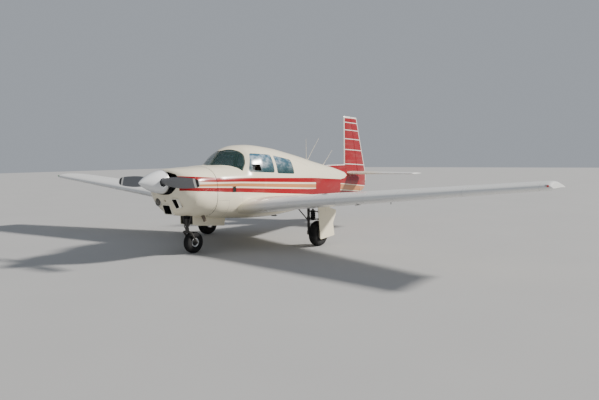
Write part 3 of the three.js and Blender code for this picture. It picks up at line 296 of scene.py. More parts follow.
def rod(name, start, end, radius, sides=24, end_radius=None):
    start, end = Vector(start), Vector(end)
    turn = (end - start).to_track_quat("Z", "Y").to_matrix()
    rings = []
    for middle, size in ((start, radius), (end, radius if end_radius is None else end_radius)):
        rings.append([middle + turn @ Vector((size * cos(a), size * sin(a), 0)) for a in circle(sides)])
    return loft(name, rings)


def turned(name, profile, origin, axis, sides=48):
    """A turned piece. The profile is radius, distance along, and closes on itself or on the axis."""
    turn = Vector(axis).to_track_quat("Z", "Y").to_matrix()
    closed = profile[0] == profile[-1]
    rings = []
    for radius, along in (profile[:-1] if closed else profile):
        rings.append([Vector(origin) + turn @ Vector((radius * cos(a), radius * sin(a), along))
                      for a in circle(sides)])
    rings = np.array([[tuple(p) for p in ring] for ring in rings])
    if closed:
        half = len(rings) // 2
        return pipe(name, rings[:half], rings[half:][::-1])
    return loft(name, rings)


def rounded(outline, radius, steps=6):
    """An outline whose corners are curved."""
    result = []
    for i, corner in enumerate(outline):
        here = Vector(corner)
        before = Vector(outline[i - 1]) - here
        after = Vector(outline[(i + 1) % len(outline)]) - here
        reach = min(radius, before.length * 0.45, after.length * 0.45)
        start = here + before.normalized() * reach
        end = here + after.normalized() * reach
        for k in range(steps + 1):
            t = k / steps
            result.append(tuple(start * (1 - t) ** 2 + here * (2 * t * (1 - t)) + end * t**2))
    return result


def inset(outline, distance):
    """An outline moved inwards, or outwards where the distance is negative."""
    points = [Vector(p) for p in outline]
    area = sum(a.x * b.y - b.x * a.y for a, b in zip(points, points[1:] + points[:1]))
    shift = distance if area > 0 else -distance
    moved = []
    for before, here, after in zip(points[-1:] + points[:-1], points, points[1:] + points[:1]):
        first = (here - before).normalized()
        second = (after - here).normalized()
        normal = Vector((-first.y - second.y, first.x + second.x)).normalized()
        stretch = max(0.3, normal.dot(Vector((-second.y, second.x))))
        moved.append(tuple(here + normal * shift / stretch))
    return moved


def fit(piece, finish, body="airframe", stands_for=(), angle=32, slot=None):
    """Gives a piece its finish and its body, and hides the CAD nodes that it stands for. The finish's slot
    is looked up but not kept.
    """
    mesh = piece.data
    mesh.polygons.foreach_set("use_smooth", [True] * len(mesh.polygons))
    mesh.set_sharp_from_angle(angle=radians(angle))
    mesh.materials.clear()
    mesh.materials.append(finish)
    slot = slot or SLOT_OF[finish.name]
    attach(piece, body)
    if stands_for:
        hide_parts(*stands_for)
    return piece


def tube(name, path, radius, sides=12, closed=False):
    """A round bar along a path. The radius is one number, or one for each point."""
    path = [Vector(p) for p in path]
    radii = radius if isinstance(radius, (list, tuple)) else [radius] * len(path)
    rings = []
    up = None
    for i, here in enumerate(path):
        ahead = path[(i + 1) % len(path)] if closed or i + 1 < len(path) else here
        behind = path[i - 1] if closed or i > 0 else here
        way = (ahead - behind).normalized()
        up = way.orthogonal() if up is None else up
        up = (up - way * up.dot(way)).normalized()
        across = way.cross(up)
        rings.append([tuple(here + (up * cos(a) + across * sin(a)) * radii[i]) for a in circle(sides)])
    if closed:
        half = len(rings) // 2
        return pipe(name, np.array(rings[:half]), np.array(rings[half:][::-1]))
    return loft(name, rings)


def curve(points, steps=6):
    """Points on a smooth line through the given ones."""
    points = [Vector(p) for p in points]
    result = []
    for i, (a, b) in enumerate(zip(points, points[1:])):
        before = points[i - 1] if i > 0 else a * 2 - b
        after = points[i + 2] if i + 2 < len(points) else b * 2 - a
        for k in range(steps):
            t = k / steps
            result.append(0.5 * (2 * a + (b - before) * t + (2 * before - 5 * a + 4 * b - after) * t**2 +
                                 (3 * a - before - 3 * b + after) * t**3))
    return result + [points[-1]]


def stepped(name, start, end, profile, sides=24):
    """A bar with collars. The profile is share of the length, radius."""
    start, end = Vector(start), Vector(end)
    length = (end - start).length
    return turned(name, [(radius, share * length) for share, radius in profile], start, end - start, sides)


def plate(name, outline, x, thickness, edge=0.004):
    """A flat sheet in a side view, standing outwards from x, with eased edges."""
    way = 1 if x > 0 else -1
    rings = []
    for depth, trim in ((0, edge), (edge * 0.3, edge * 0.3), (edge, 0), (thickness - edge, 0),
                        (thickness - edge * 0.3, edge * 0.3), (thickness, edge)):
        rings.append([at(x + way * depth, s, z) for s, z in inset(outline, trim or 1e-6)])
    return loft(name, rings)


def leaning_frame(name, outline, width, depth, proud):
    """A lip round an opening in the nose's leaning face."""
    def ring(points, back):
        return [at(x, COWL_FRONT - proud + back + float(rake_at(COWL_FRONT, z)), z) for x, z in points]
    outer = inset(outline, -width)
    return pipe(name, np.array([ring(inset(outline, -width * 0.7), 0), ring(outer, depth * 0.15),
            ring(outer, depth)]), np.array([ring(inset(outline, -width * 0.2), 0),
            ring(outline, depth * 0.15), ring(outline, depth)]))


# Materials
class Value:
    """A socket in a material's nodes. Arithmetic on it adds Math nodes."""

    def __init__(self, tree, socket):
        self.tree = tree
        self.socket = socket

    def node(self, kind, settings, sockets, output=0):
        made = self.tree.nodes.new(kind)
        for name, value in settings.items():
            if name == "stops":
                ramp = made.color_ramp.elements
                while len(ramp) < len(value):
                    ramp.new(0.5)
                for stop, (place, colour) in zip(ramp, value):
                    stop.position = place
                    stop.color = (*colour, 1)
            else:
                setattr(made, name, value)
        for name, value in sockets.items():
            if isinstance(value, Value):
                self.tree.links.new(value.socket, made.inputs[name])
            else:
                made.inputs[name].default_value = value
        return Value(self.tree, made.outputs[output])

    def math(self, operation, *others):
        return self.node("ShaderNodeMath", {"operation": operation}, dict(enumerate((self, *others))))

    def __add__(self, other):
        return self.math("ADD", other)

    def __sub__(self, other):
        return self.math("SUBTRACT", other)

    def __mul__(self, other):
        return self.math("MULTIPLY", other)

    def __truediv__(self, other):
        return self.math("DIVIDE", other)

    def __rsub__(self, other):
        return self.node("ShaderNodeMath", {"operation": "SUBTRACT"}, {0: other, 1: self})

    __radd__ = __add__
    __rmul__ = __mul__

    def clamped(self):
        return self.node("ShaderNodeClamp", {}, {0: self})

    def above(self, edge, soft=0.0015):
        """1 where the value is over the edge and 0 below it, with a soft step."""
        return ((self - edge) / soft + 0.5).clamped()

    def between(self, low, high, soft=0.0015):
        return self.above(low, soft) * (1 - self.above(high, soft))

    def size(self):
        return self.math("ABSOLUTE")

    def blend(self, low, high):
        """Mixes two colours, with this value as the factor."""
        return self.node("ShaderNodeMix", {"data_type": "RGBA"}, {0: self, 6: low, 7: high}, 2)

    def bent(self, points):
        """A chain of straight lines through points, as a function of this value."""
        total = points[0][1]
        slope = 0
        for (u0, v0), (u1, v1) in zip(points, points[1:]):
            new_slope = (v1 - v0) / (u1 - u0)
            total = (self - u0).math("MAXIMUM", 0) * (new_slope - slope) + total
            slope = new_slope
        return total


class Finish:
    """A material under construction: its shader's sockets and the object coordinates."""

    def __init__(self, name, **constants):
        self.material = bpy.data.materials.new(name)
        self.material.use_nodes = True
        self.tree = self.material.node_tree
        self.shader = next(n for n in self.tree.nodes if n.type == "BSDF_PRINCIPLED")
        for socket, value in constants.items():
            self.shader.inputs[socket.replace("_", " ")].default_value = value
        place = self.tree.nodes.new("ShaderNodeTexCoord")
        self.place = Value(self.tree, place.outputs["Object"])
        split = self.tree.nodes.new("ShaderNodeSeparateXYZ")
        self.tree.links.new(place.outputs["Object"], split.inputs[0])
        self.x, self.y, self.z = (Value(self.tree, split.outputs[i]) for i in range(3))
        self.station = self.y - NOSE_Y

    def noise(self, scale, detail=3, stretch=(1, 1, 1), roughness=0.5):
        moved = self.place.node("ShaderNodeMapping", {}, {"Vector": self.place, "Scale": stretch})
        return self.place.node("ShaderNodeTexNoise", {}, {"Vector": moved, "Scale": scale, "Detail": detail,
                "Roughness": roughness})

    def put(self, **values):
        for socket, value in values.items():
            target = self.shader.inputs[socket.replace("_", " ")]
            self.tree.links.new(value.socket, target)
        return self

    def bump(self, height, distance=0.001, strength=0.5):
        made = self.place.node("ShaderNodeBump", {}, {"Height": height, "Distance": distance,
                "Strength": strength})
        return self.put(Normal=made)


def stud_tree():
    """Low round heads on points, each turned the way that its point faces."""
    tree = bpy.data.node_groups.new("stud_heads", "GeometryNodeTree")
    for label, kind in (("Points", "Geometry"), ("Radius", "Float"), ("Height", "Float"),
                        ("Finish", "Material")):
        tree.interface.new_socket(label, in_out="INPUT", socket_type=f"NodeSocket{kind}")
    tree.interface.new_socket("Heads", in_out="OUTPUT", socket_type="NodeSocketGeometry")
    given = tree.nodes.new("NodeGroupInput").outputs
    points, radius, height, finish = (Value(tree, given[i]) for i in range(4))
    head = radius.node("GeometryNodeMeshCone", {}, {"Vertices": 8, "Radius Top": radius * HEAD_TAPER,
            "Radius Bottom": radius, "Depth": height}, "Mesh")
    facing = radius.node("GeometryNodeInputNamedAttribute", {"data_type": "FLOAT_VECTOR"},
                         {"Name": "facing"}, "Attribute")
    turn = facing.node("FunctionNodeAlignRotationToVector", {"axis": "Z"}, {"Vector": facing}, "Rotation")
    spread = points.node("GeometryNodeInstanceOnPoints", {},
                         {"Points": points, "Instance": head, "Rotation": turn})
    solid = spread.node("GeometryNodeRealizeInstances", {}, {0: spread})
    painted = solid.node("GeometryNodeSetMaterial", {}, {"Geometry": solid, "Material": finish})
    tree.links.new(painted.socket, tree.nodes.new("NodeGroupOutput").inputs[0])
    return tree


def studs(name, places, radius, height, finish, body, slot=None):
    """Screw heads on one body. Each place is a point and the way that it faces."""
    piece = mesh_object(name, [Vector(point) for point, _ in places], [])
    facing = piece.data.attributes.new("facing", "FLOAT_VECTOR", "POINT")
    facing.data.foreach_set("vector", [v for _, way in places for v in way])
    step = piece.modifiers.new("heads", "NODES")
    step.node_group = STUDS
    for label, value in (("Radius", radius), ("Height", height), ("Finish", finish)):
        step[STUDS.interface.items_tree[label].identifier] = value
    return fit(settle(piece), finish, body, angle=20, slot=slot)


HEAD_TAPER = 0.62
CREAM = (0.87, 0.8, 0.62, 1)
WHITE = (0.87, 0.87, 0.85, 1)
RED = (0.31, 0.003, 0.008, 1)
TAN = (0.56, 0.235, 0.095, 1)
LINE_WHITE = (0.86, 0.84, 0.78, 1)

# Band edges along the fuselage as station, z
BAND_TOP = [(0.55, 1.3), (1.15, 1.256), (1.67, 1.234), (3.78, 1.154), (4.1, 1.139), (5.41, 1.059),
            (5.9, 1.03)]
UPPER_RED_LOW = [(0.55, 1.22), (1.15, 1.187), (1.67, 1.168), (3.78, 1.063), (4.1, 1.048), (5.5, 0.961),
                 (7.06, 0.825)]
TAN_TOP = [(0.55, 1.174), (1.67, 1.144), (3.78, 1.029), (4.1, 1.012), (5.5, 0.943), (7.06, 0.806)]
TAN_LOW = [(0.55, 1.142), (1.67, 1.09), (3.78, 0.954), (4.1, 0.935), (5.5, 0.814), (7.06, 0.68)]
LOWER_RED_TOP = [(0.55, 1.126), (1.35, 1.082), (1.67, 1.064), (3.8, 0.927), (4.1, 0.915), (5.5, 0.796),
                 (7.06, 0.66)]
BAND_LOW = [(0.55, 1.078), (1.35, 1.012), (1.67, 0.992), (3.8, 0.82), (4.1, 0.793), (5.2, 0.732),
            (5.5, 0.715), (6.8, 0.64)]
BAND_START = 0.495
SOLID_RED = (4.1, 5.43)
CREAM_POINT_TOP = [(4.884, 1.405), (5.784, 1.204), (5.87, 1.135), (7.2, 1.135)]
CREAM_POINT_LOW = [(5.45, 1.058), (5.7, 1.075), (5.87, 1.135)]
CREAM_POINT_END = 5.87


def wear(finish, base, dirt=(0.5, 0.46, 0.38, 1), amount=0.16, roughness=0.26):
    """Paint that has weathered: faint streaks, dull patches and slightly wavy sheet."""
    patches = finish.noise(2.2, 5, (1, 0.6, 1.4))
    streaks = finish.noise(9, 6, (1, 0.12, 1), 0.6)
    grime = (streaks - 0.52) * 2.4
    colour = ((grime.clamped() + (patches - 0.55).clamped()) * amount).clamped().blend(base, dirt)
    dull = patches * 0.16 + roughness - 0.06
    waves = finish.noise(7, 1, (1, 0.5, 1))
    finish.put(Base_Color=colour, Roughness=dull)
    finish.bump(waves, 0.004, 0.12)
    return finish.material


SKIN_SEAMS = [((1.069, 0.729), (1.117, 0.804), 0.01), ((1.117, 0.804), (1.122, 0.88), 0.005),
              ((1.165, 0.885), (1.4, 0.872), 0.003), ((1.4, 0.6), (1.4, 0.872), 0.003),
              ((1.7, 0.6), (1.7, 0.98), 0.0025), ((2.8, 0.6), (2.8, 0.8), 0.0025),
              ((1.15, 0.705), (3.89, 0.705), 0.002), ((3.05, 1.62), (3.9, 1.4), 0.002),
              ((4.3, 0.7), (4.3, 1.5), 0.002), ((4.9, 0.74), (4.9, 1.45), 0.002),
              ((5.55, 0.8), (5.55, 1.3), 0.002)]


def fuselage_paint():
    """Cream, with red and tan bands that widen aft, and a red tail."""
    paint = Finish("fuselage_paint", Coat_Weight=0.05, Coat_Roughness=0.2, Specular_IOR_Level=0.25)
    s, z = paint.station, paint.z
    upper_red = z.between(s.bent(UPPER_RED_LOW), s.bent(BAND_TOP))
    tan_band = z.between(s.bent(TAN_LOW), s.bent(TAN_TOP))
    lower_red = z.between(s.bent(BAND_LOW), s.bent(LOWER_RED_TOP))
    whole_band = z.between(s.bent(BAND_LOW), s.bent(BAND_TOP))
    point = z.between(s.bent(CREAM_POINT_LOW), s.bent(CREAM_POINT_TOP)) * (1 - s.above(CREAM_POINT_END))
    red_tail = z.above(s.bent(CREAM_POINT_TOP)) * s.above(CREAM_POINT_TOP[0][0])
    red_rear = s.above(CREAM_POINT_LOW[0][0]) * z.above(s.bent(UPPER_RED_LOW)) * (1 - point)
    started = s.above(BAND_START)
    solid = whole_band * s.between(*SOLID_RED)
    red = ((upper_red + lower_red) * started + solid + red_tail + red_rear).clamped()
    colour = (tan_band * started * (1 - solid)).blend(CREAM, TAN)
    colour = red.blend(colour, RED)
    seams = 0
    for (s0, z0), (s1, z1), width in SKIN_SEAMS:
        if s0 == s1:
            seam = s.between(s0 - width / 2, s0 + width / 2, 0.0008) * z.between(z0, z1)
        else:
            middle = (s - s0) * ((z1 - z0) / (s1 - s0)) + z0
            seam = (z - middle).between(-width / 2, width / 2, 0.0008) * s.between(s0, s1)
        seams = seam + seams
    return wear(paint, (seams.clamped() * 0.75).blend(colour, (0.05, 0.045, 0.04, 1)), roughness=0.17)


WING_SEAMS = (0.6, 1.42, 2.3, 3.31, 4.25, 5.19)


def white_paint():
    """White, with the wing's rib seams and faint scuffs."""
    paint = Finish("wing_paint", Coat_Weight=0.25, Coat_Roughness=0.1)
    span = paint.x.size()
    seams = sum(span.between(place - 0.0012, place + 0.0012, 0.0006) for place in WING_SEAMS)
    base = ((1.05 - span) * 2.2).clamped().blend(WHITE, CREAM)
    return wear(paint, (seams.clamped() * 0.6).blend(base, (0.2, 0.2, 0.2, 1)), amount=0.12)


FIN_LINES = [(2.397, 0.015), (2.217, 0.02), (2.005, 0.028), (1.748, 0.037), (1.403, 0.045)]
FIN_LINE_WIDTH = 0.017
FIN_EDGE = 0.034
TRAILING_EDGE = 0.028
FIN_CAP_Z = 2.497


def trailing_line(z):
    return z.bent([(FIN_BASE_Z, TRAILING_LOW), (TOP_Z, TRAILING_TOP)])


def tail_paint():
    """Red, with white lines across, and white along the leading and trailing edges and the top."""
    paint = Finish("tail_paint", Coat_Weight=0.3, Coat_Roughness=0.1)
    s, z = paint.station, paint.z
    lines = 0
    for height, slope in FIN_LINES:
        middle = (s - FIN_LEADING) * -slope + height
        lines = (z - middle).size().math("LESS_THAN", FIN_LINE_WIDTH / 2) + lines
    leading = (1 - s.above(FIN_LEADING + FIN_EDGE)) * z.above(DORSAL_TOP - 0.016)
    trailing = s.above(trailing_line(z) - TRAILING_EDGE)
    cap = z.above(FIN_CAP_Z)
    tan_band = z.between(s.bent(TAN_LOW), s.bent(TAN_TOP))
    rear_lines = (z.between(s.bent(TAN_TOP), s.bent(UPPER_RED_LOW)) +
                  z.between(s.bent(LOWER_RED_TOP), s.bent(TAN_LOW)))
    white = (lines + leading + trailing + cap + rear_lines).clamped()
    colour = tan_band.blend(RED, TAN)
    return wear(paint, white.blend(colour, LINE_WHITE), amount=0.22)


def window_glass():
    """Curved tinted acrylic."""
    glass = Finish("window_glass", Alpha=0.3, Specular_IOR_Level=0.9, Coat_Weight=1.0, Coat_Roughness=0.04)
    wash = glass.noise(1.5, 1)
    glass.put(Base_Color=wash.blend((0.008, 0.04, 0.042, 1), (0.015, 0.075, 0.065, 1)),
              Roughness=wash * 0.06 + 0.02)
    return glass.bump(glass.noise(4, 1), 0.003, 0.08).material


def side_glass():
    """Older acrylic, dark teal, with a painted reflection of blue sky and clouds towards the top."""
    glass = Finish("side_window_glass", Specular_IOR_Level=0.6, Coat_Weight=0.5, Coat_Roughness=0.22)
    # Painted reflection: cloud shapes and sky blue in the colour, growing towards the top of the pane, which
    # is also less clear there
    painted_clouds = ((glass.noise(5, 5, (1, 1, 2.2), 0.6) - 0.46) * 5).clamped()
    height = ((glass.z - 1.3) / 0.3).clamped()
    painted_sky = painted_clouds.blend((0.045, 0.15, 0.24, 1), (0.5, 0.62, 0.74, 1))
    low = glass.noise(6, 3).blend((0.01, 0.05, 0.058, 1), (0.02, 0.095, 0.1, 1))
    glass.put(Base_Color=height.blend(low, painted_sky), Alpha=height * 0.3 + 0.48, Roughness=painted_clouds * 0.1 + 0.22)
    return glass.bump(glass.noise(4, 1), 0.003, 0.08).material


def dark_metal():
    metal = Finish("gear_steel", Metallic=0.5)
    grime = metal.noise(30, 4)
    metal.put(Base_Color=grime.blend((0.03, 0.03, 0.03, 1), (0.13, 0.12, 0.11, 1)),
              Roughness=grime * 0.3 + 0.35)
    return metal.bump(grime, 0.0006).material


def plain_dark(name, low, high, scale=120, roughness=0.75, depth=0.0004):
    plain = Finish(name, Roughness=roughness)
    grain = plain.noise(scale, 3)
    plain.put(Base_Color=grain.blend((*low, 1), (*high, 1)))
    return plain.bump(grain, depth).material


CREAM_PAINT = fuselage_paint()
WHITE_PAINT = white_paint()
TAIL_PAINT = tail_paint()
GLASS = window_glass()
SIDE_GLASS = side_glass()
GEAR_STEEL = dark_metal()
TRIM = plain_dark("cabin_trim", (0.018, 0.018, 0.02), (0.035, 0.034, 0.034))


TIP_BANDS = ((0.825, 0.87), (0.87, 0.925))


def blade_paint():
    """Satin grey, with white and black bands at the tips."""
    paint = Finish("blade_paint", Coat_Weight=0.15)
    reach = paint.x.size()
    grain = paint.noise(60, 4)
    white = (reach.between(*TIP_BANDS[0]) + reach.above(TIP_BANDS[1][1])).clamped()
    black = reach.between(*TIP_BANDS[1])
    grey = grain.blend((0.15, 0.153, 0.162, 1), (0.22, 0.224, 0.235, 1))
    colour = black.blend(white.blend(grey, LINE_WHITE), (0.012, 0.012, 0.013, 1))
    paint.put(Base_Color=colour, Roughness=grain * 0.15 + 0.34)
    return paint.bump(grain, 0.0005, 0.3).material


def spinner_paint():
    """White, a little scoured by grit round the tip."""
    paint = Finish("spinner_paint", Coat_Weight=0.5, Coat_Roughness=0.06)
    specks = paint.noise(160, 4, roughness=0.7)
    chips = (specks - 0.66) * 9 * (1 - paint.station.above(0.12, 0.1))
    base = paint.noise(5, 3).blend((0.84, 0.86, 0.88, 1), (0.78, 0.79, 0.8, 1))
    paint.put(Base_Color=chips.clamped().blend(base, (0.35, 0.34, 0.33, 1)), Roughness=specks * 0.1 + 0.18)
    return paint.bump(paint.noise(9, 1), 0.002, 0.1).material


def rim_paint(centre, edge):
    """Pale outside, and dark within a radius round the hub."""
    paint = Finish("nose_rim_paint")
    across = (paint.y - centre.y) * (paint.y - centre.y) + (paint.z - centre.z) * (paint.z - centre.z)
    grime = paint.noise(30, 4)
    pale = grime.blend((0.74, 0.76, 0.78, 1), (0.88, 0.89, 0.9, 1))
    paint.put(Base_Color=across.math("SQRT").above(edge, 0.002).blend((0.035, 0.036, 0.036, 1), pale),
              Roughness=grime * 0.2 + 0.3)
    return paint.bump(grime, 0.0004, 0.3).material


def rubber():
    tyre = Finish("tyre_rubber", Specular_IOR_Level=0.35)
    grain = tyre.noise(240, 3)
    dust = tyre.noise(7, 4)
    worn = (dust - 0.5) * 1.6
    tyre.put(Base_Color=worn.clamped().blend((0.012, 0.012, 0.013, 1), (0.055, 0.052, 0.048, 1)),
             Roughness=dust * 0.2 + 0.68)
    return tyre.bump(grain, 0.0006, 0.5).material


def metal(name, low, high, rough, metallic=0.9, scale=25, depth=0.0004):
    """Bare or painted metal with grime in its finish."""
    made = Finish(name, Metallic=metallic)
    grime = made.noise(scale, 5, roughness=0.6)
    made.put(Base_Color=grime.blend((*low, 1), (*high, 1)), Roughness=grime * 0.25 + rough)
    return made.bump(grime, depth, 0.35).material


def lens(name, colour, alpha=0.8):
    """Moulded clear or coloured plastic with fine ribs inside."""
    made = Finish(name, Alpha=alpha, Roughness=0.06, Coat_Weight=1.0, Coat_Roughness=0.02)
    ribs = (made.x * 900).math("SINE") * 0.5 + 0.5
    made.put(Base_Color=ribs.blend((*(c * 0.8 for c in colour), 1), (*colour, 1)))
    return made.bump(ribs, 0.0004, 0.4).material


def weave():
    """Woven seat cover, with broad patches worn lighter."""
    cloth = Finish("seat_weave", Roughness=0.9, Sheen_Weight=0.35, Sheen_Roughness=0.4)
    across = (cloth.x * 2600).math("SINE")
    along = ((cloth.y + cloth.z) * 2600).math("SINE")
    threads = (across * along) * 0.5 + 0.5
    fibre = cloth.noise(320, 4)
    fade = cloth.noise(6, 3)
    tone = (threads * 0.5 + fibre * 0.5).blend((0.085, 0.052, 0.034, 1), (0.19, 0.125, 0.085, 1))
    cloth.put(Base_Color=((fade - 0.45) * 1.8).clamped().blend(tone, (0.26, 0.19, 0.14, 1)))
    return cloth.bump(threads + fibre * 0.6, 0.0006, 0.6).material


def vinyl(name, low, high, grain=90, rough=0.55):
    """Grained soft sheet, as on side panels, headliner and glareshield."""
    made = Finish(name)
    cells = made.place.node("ShaderNodeTexVoronoi", {"feature": "SMOOTH_F1"},
            {"Vector": made.place, "Scale": grain * 4})
    wash = made.noise(3, 4)
    made.put(Base_Color=wash.blend((*low, 1), (*high, 1)), Roughness=wash * 0.15 + rough)
    return made.bump(cells, 0.0008, 0.5).material


def carpet():
    pile = Finish("carpet", Roughness=0.95, Sheen_Weight=0.3)
    tufts = pile.noise(420, 5, roughness=0.7)
    wear_marks = pile.noise(4, 3)
    tone = tufts.blend((0.045, 0.03, 0.022, 1), (0.13, 0.092, 0.066, 1))
    pile.put(Base_Color=((wear_marks - 0.5) * 1.5).clamped().blend(tone, (0.16, 0.13, 0.1, 1)))
    return pile.bump(tufts, 0.003, 0.8).material


SPINNER_PAINT = spinner_paint()
BLADE_PAINT = blade_paint()
# A lighter cream than the cowl's, which makes the intake lips read brighter
LIP_PAINT = metal("intake_lip_paint", (0.88, 0.84, 0.7), (0.95, 0.92, 0.8), 0.25, 0.0)
RUBBER = rubber()
ALLOY = metal("cast_alloy", (0.42, 0.42, 0.41), (0.66, 0.66, 0.65), 0.3, 0.8)
CHROME = metal("polished_steel", (0.55, 0.55, 0.55), (0.75, 0.75, 0.75), 0.1, 1.0)
DARK_STEEL = metal("heat_stained_steel", (0.1, 0.075, 0.055), (0.26, 0.22, 0.18), 0.4, 0.85, 14)
ENGINE_GREY = metal("engine_casting", (0.1, 0.1, 0.1), (0.22, 0.22, 0.215), 0.5, 0.5)
SCREW_HEAD = metal("screw_head", (0.38, 0.37, 0.34), (0.6, 0.59, 0.55), 0.35, 0.6)
BLACK = plain_dark("black_fitting", (0.008, 0.008, 0.009), (0.022, 0.022, 0.024), 90, 0.5)
# Near-black for the inside of openings: painted shade in the nose's mouth, ducts, screens, baffles and the
# side vent
OPENING_SHADE = plain_dark("opening_shade_black", (0.004, 0.004, 0.004), (0.014, 0.013, 0.012), 20, 0.9)
PORT_LENS = lens("port_lens", (0.75, 0.015, 0.01))
STARBOARD_LENS = lens("starboard_lens", (0.01, 0.4, 0.1))
CLEAR_LENS = lens("clear_lens", (0.75, 0.78, 0.78), 0.35)
# The landing lamp's lens is dark brown-grey: painted shade, for a lamp in the nose's shadow
LAMP_LENS = lens("lamp_lens", (0.13, 0.115, 0.09), 0.6)
REFLECTOR = metal("reflector", (0.2, 0.19, 0.17), (0.36, 0.34, 0.31), 0.12, 0.9)
SEAT_WEAVE = weave()
SEAT_PIPING = vinyl("seat_piping", (0.03, 0.02, 0.015), (0.05, 0.034, 0.026))
LINER = vinyl("side_panel_vinyl", (0.34, 0.3, 0.24), (0.42, 0.38, 0.31))
PANEL_BLACK = vinyl("panel_crackle", (0.016, 0.016, 0.017), (0.032, 0.032, 0.033), 160)
CARPET = carpet()
# Dark olive-grey for the inner faces of the nose gear doors: painted shade
DOOR_SHADE = plain_dark("door_inner_shade", (0.03, 0.032, 0.024), (0.075, 0.075, 0.055), 14, 0.6)
DIAL_FACE = plain_dark("dial_face", (0.006, 0.006, 0.007), (0.012, 0.012, 0.013), 60, 0.35)
DIAL_MARK = plain_dark("dial_mark", (0.65, 0.65, 0.6), (0.75, 0.75, 0.7), 60, 0.5)
# The slot that a finish has where fit is told of no other
SLOTS = {
    "cream_paint": (CREAM_PAINT, LIP_PAINT),
    "white_paint": (WHITE_PAINT, SPINNER_PAINT),
    "red_paint": (TAIL_PAINT,),
    "blade_paint": (BLADE_PAINT,),
    "window_glass": (GLASS, SIDE_GLASS, LAMP_LENS, CLEAR_LENS, PORT_LENS, STARBOARD_LENS),
    "tyre": (RUBBER,),
    "gear_steel": (GEAR_STEEL, DARK_STEEL, DOOR_SHADE),
    "bare_alloy": (ALLOY, CHROME, REFLECTOR, SCREW_HEAD),
    "engine_casting": (ENGINE_GREY,),
    "cabin_fabric": (SEAT_WEAVE, SEAT_PIPING),
    "cabin_carpet": (CARPET,),
    "cabin_trim": (TRIM, BLACK, OPENING_SHADE, LINER, PANEL_BLACK, DIAL_FACE, DIAL_MARK),
}
SLOT_OF = {finish.name: slot for slot, finishes in SLOTS.items() for finish in finishes}
STUDS = stud_tree()


# Fuselage skins
RING_POINTS = 128
RING_FINE = 1200
STEP = 0.028


def rake_at(station, z):
    share = max(0, min(1, 1 - (station - COWL_FRONT) / (RAKE["end"] - COWL_FRONT)))
    return np.maximum(0, RAKE["below"] - z) * RAKE["slope"] * share ** RAKE["fade"]


def fuselage_ring(station, depth=0.0, count=RING_POINTS):
    """A section of the fuselage as evenly spaced points. The canopy is added to the deck."""
    bottom, top, waist, half, low, high = (smooth(FUSELAGE, column, station) for column in range(1, 7))
    on_deck = station < CANOPY[-1][0]
    angle = np.linspace(-pi / 2, 1.5 * pi, RING_FINE + 1)
    c, s = np.cos(angle), np.sin(angle)
    power = np.where(s < 0, low, high)
    reach = np.where(s < 0, waist - bottom, (min(top, DECK_TOP) if on_deck else top) - waist) - depth
    x = (half - depth) * np.sign(c) * np.abs(c) ** (2 / power)
    rise = reach * np.sign(s) * np.abs(s) ** (2 / power)
    if on_deck and station > CANOPY[0][0]:
        canopy_half, canopy_top, curve = (smooth(CANOPY, column, station) for column in range(1, 4))
        wide, tall = max(canopy_half - depth, 0.001), canopy_top - depth - waist
        out = np.hypot(x, rise)
        over = ((np.abs(x) / out / wide) ** curve + (np.abs(rise) / out / tall) ** curve) ** (-1 / curve)
        longest = np.maximum(out, over)
        blend = (out / longest) ** CANOPY_BLEND + (over / longest) ** CANOPY_BLEND
        grow = np.where(s > 0, longest / out * blend ** (1 / CANOPY_BLEND), 1)
        x, rise = x * grow, rise * grow
    z = waist + rise
    run = np.concatenate([[0], np.cumsum(np.hypot(np.diff(x), np.diff(z)))])
    even = np.linspace(0, run[-1], count, endpoint=False)
    points = np.empty((count, 3))
    points[:, 0] = np.interp(even, run, x)
    points[:, 2] = np.interp(even, run, z)
    points[:, 1] = NOSE_Y + station + rake_at(station, points[:, 2])
    return points


def stations(start, end, step=STEP):
    return np.linspace(start, end, max(2, round((end - start) / step) + 1))


def fuselage_solid(name, start, end, depth=0.0, step=STEP):
    return loft(name, [fuselage_ring(s, depth) for s in stations(start, end, step)])


def fuselage_wall(name, start, end, wall, depth=0.0):
    places = stations(start, end)
    return pipe(name, np.array([fuselage_ring(s, depth) for s in places]),
                np.array([fuselage_ring(s, depth + wall) for s in places]))


def skin_patch(name, start, end, wall, depth, tool):
    """The part of the skin that lies inside a tool."""
    return carve(fuselage_wall(name, start, end, wall, depth), tool, operation="INTERSECT")


def leaning_prism(name, outline, lean, inner, outer):
    """A side outline whose rear edge leans aft with its distance from the middle."""
    rings = []
    middle = sum(station for station, _ in outline) / len(outline)
    for x in (inner, outer):
        shift = lean * (abs(x) - abs(inner))
        rings.append([at(x, station + (shift if station > middle else 0), z) for station, z in outline])
    return loft(name, rings)


DOOR_LEAN = 0.34
BAGGAGE_LEAN = 0.13
WIDE = 0.8


# Outline, corner radius and the range of x that the opening is cut through
WINDOWS = {"windscreen": (WINDSCREEN, 0.03, -WIDE, WIDE),
           "left_front": (FRONT_WINDOW, WINDOW_CORNER, 0, WIDE),
           "left_rear": (REAR_WINDOW, WINDOW_CORNER, 0, WIDE),
           "right_rear": (RIGHT_REAR_WINDOW, 0.07, -WIDE, 0), "cabin_door": (DOOR_WINDOW, 0.07, -WIDE, 0)}


def window_cuts(gap, *names):
    """Tools in the shape of the windows, made smaller by a gap all round."""
    tools = []
    for name in names:
        outline, corner, low, high = WINDOWS[name]
        outline = rounded(outline, corner)
        tools.append(side_prism("window_cut", inset(outline, gap) if gap else outline, low, high))
    return tools


def doorway(gap):
    return leaning_prism("doorway", inset(rounded(CABIN_DOOR, 0.09), gap), DOOR_LEAN, -0.25, -0.64)


def hatchway(gap):
    return leaning_prism("hatchway", inset(rounded(BAGGAGE_DOOR, 0.05), gap), BAGGAGE_LEAN, -0.3, -0.64)


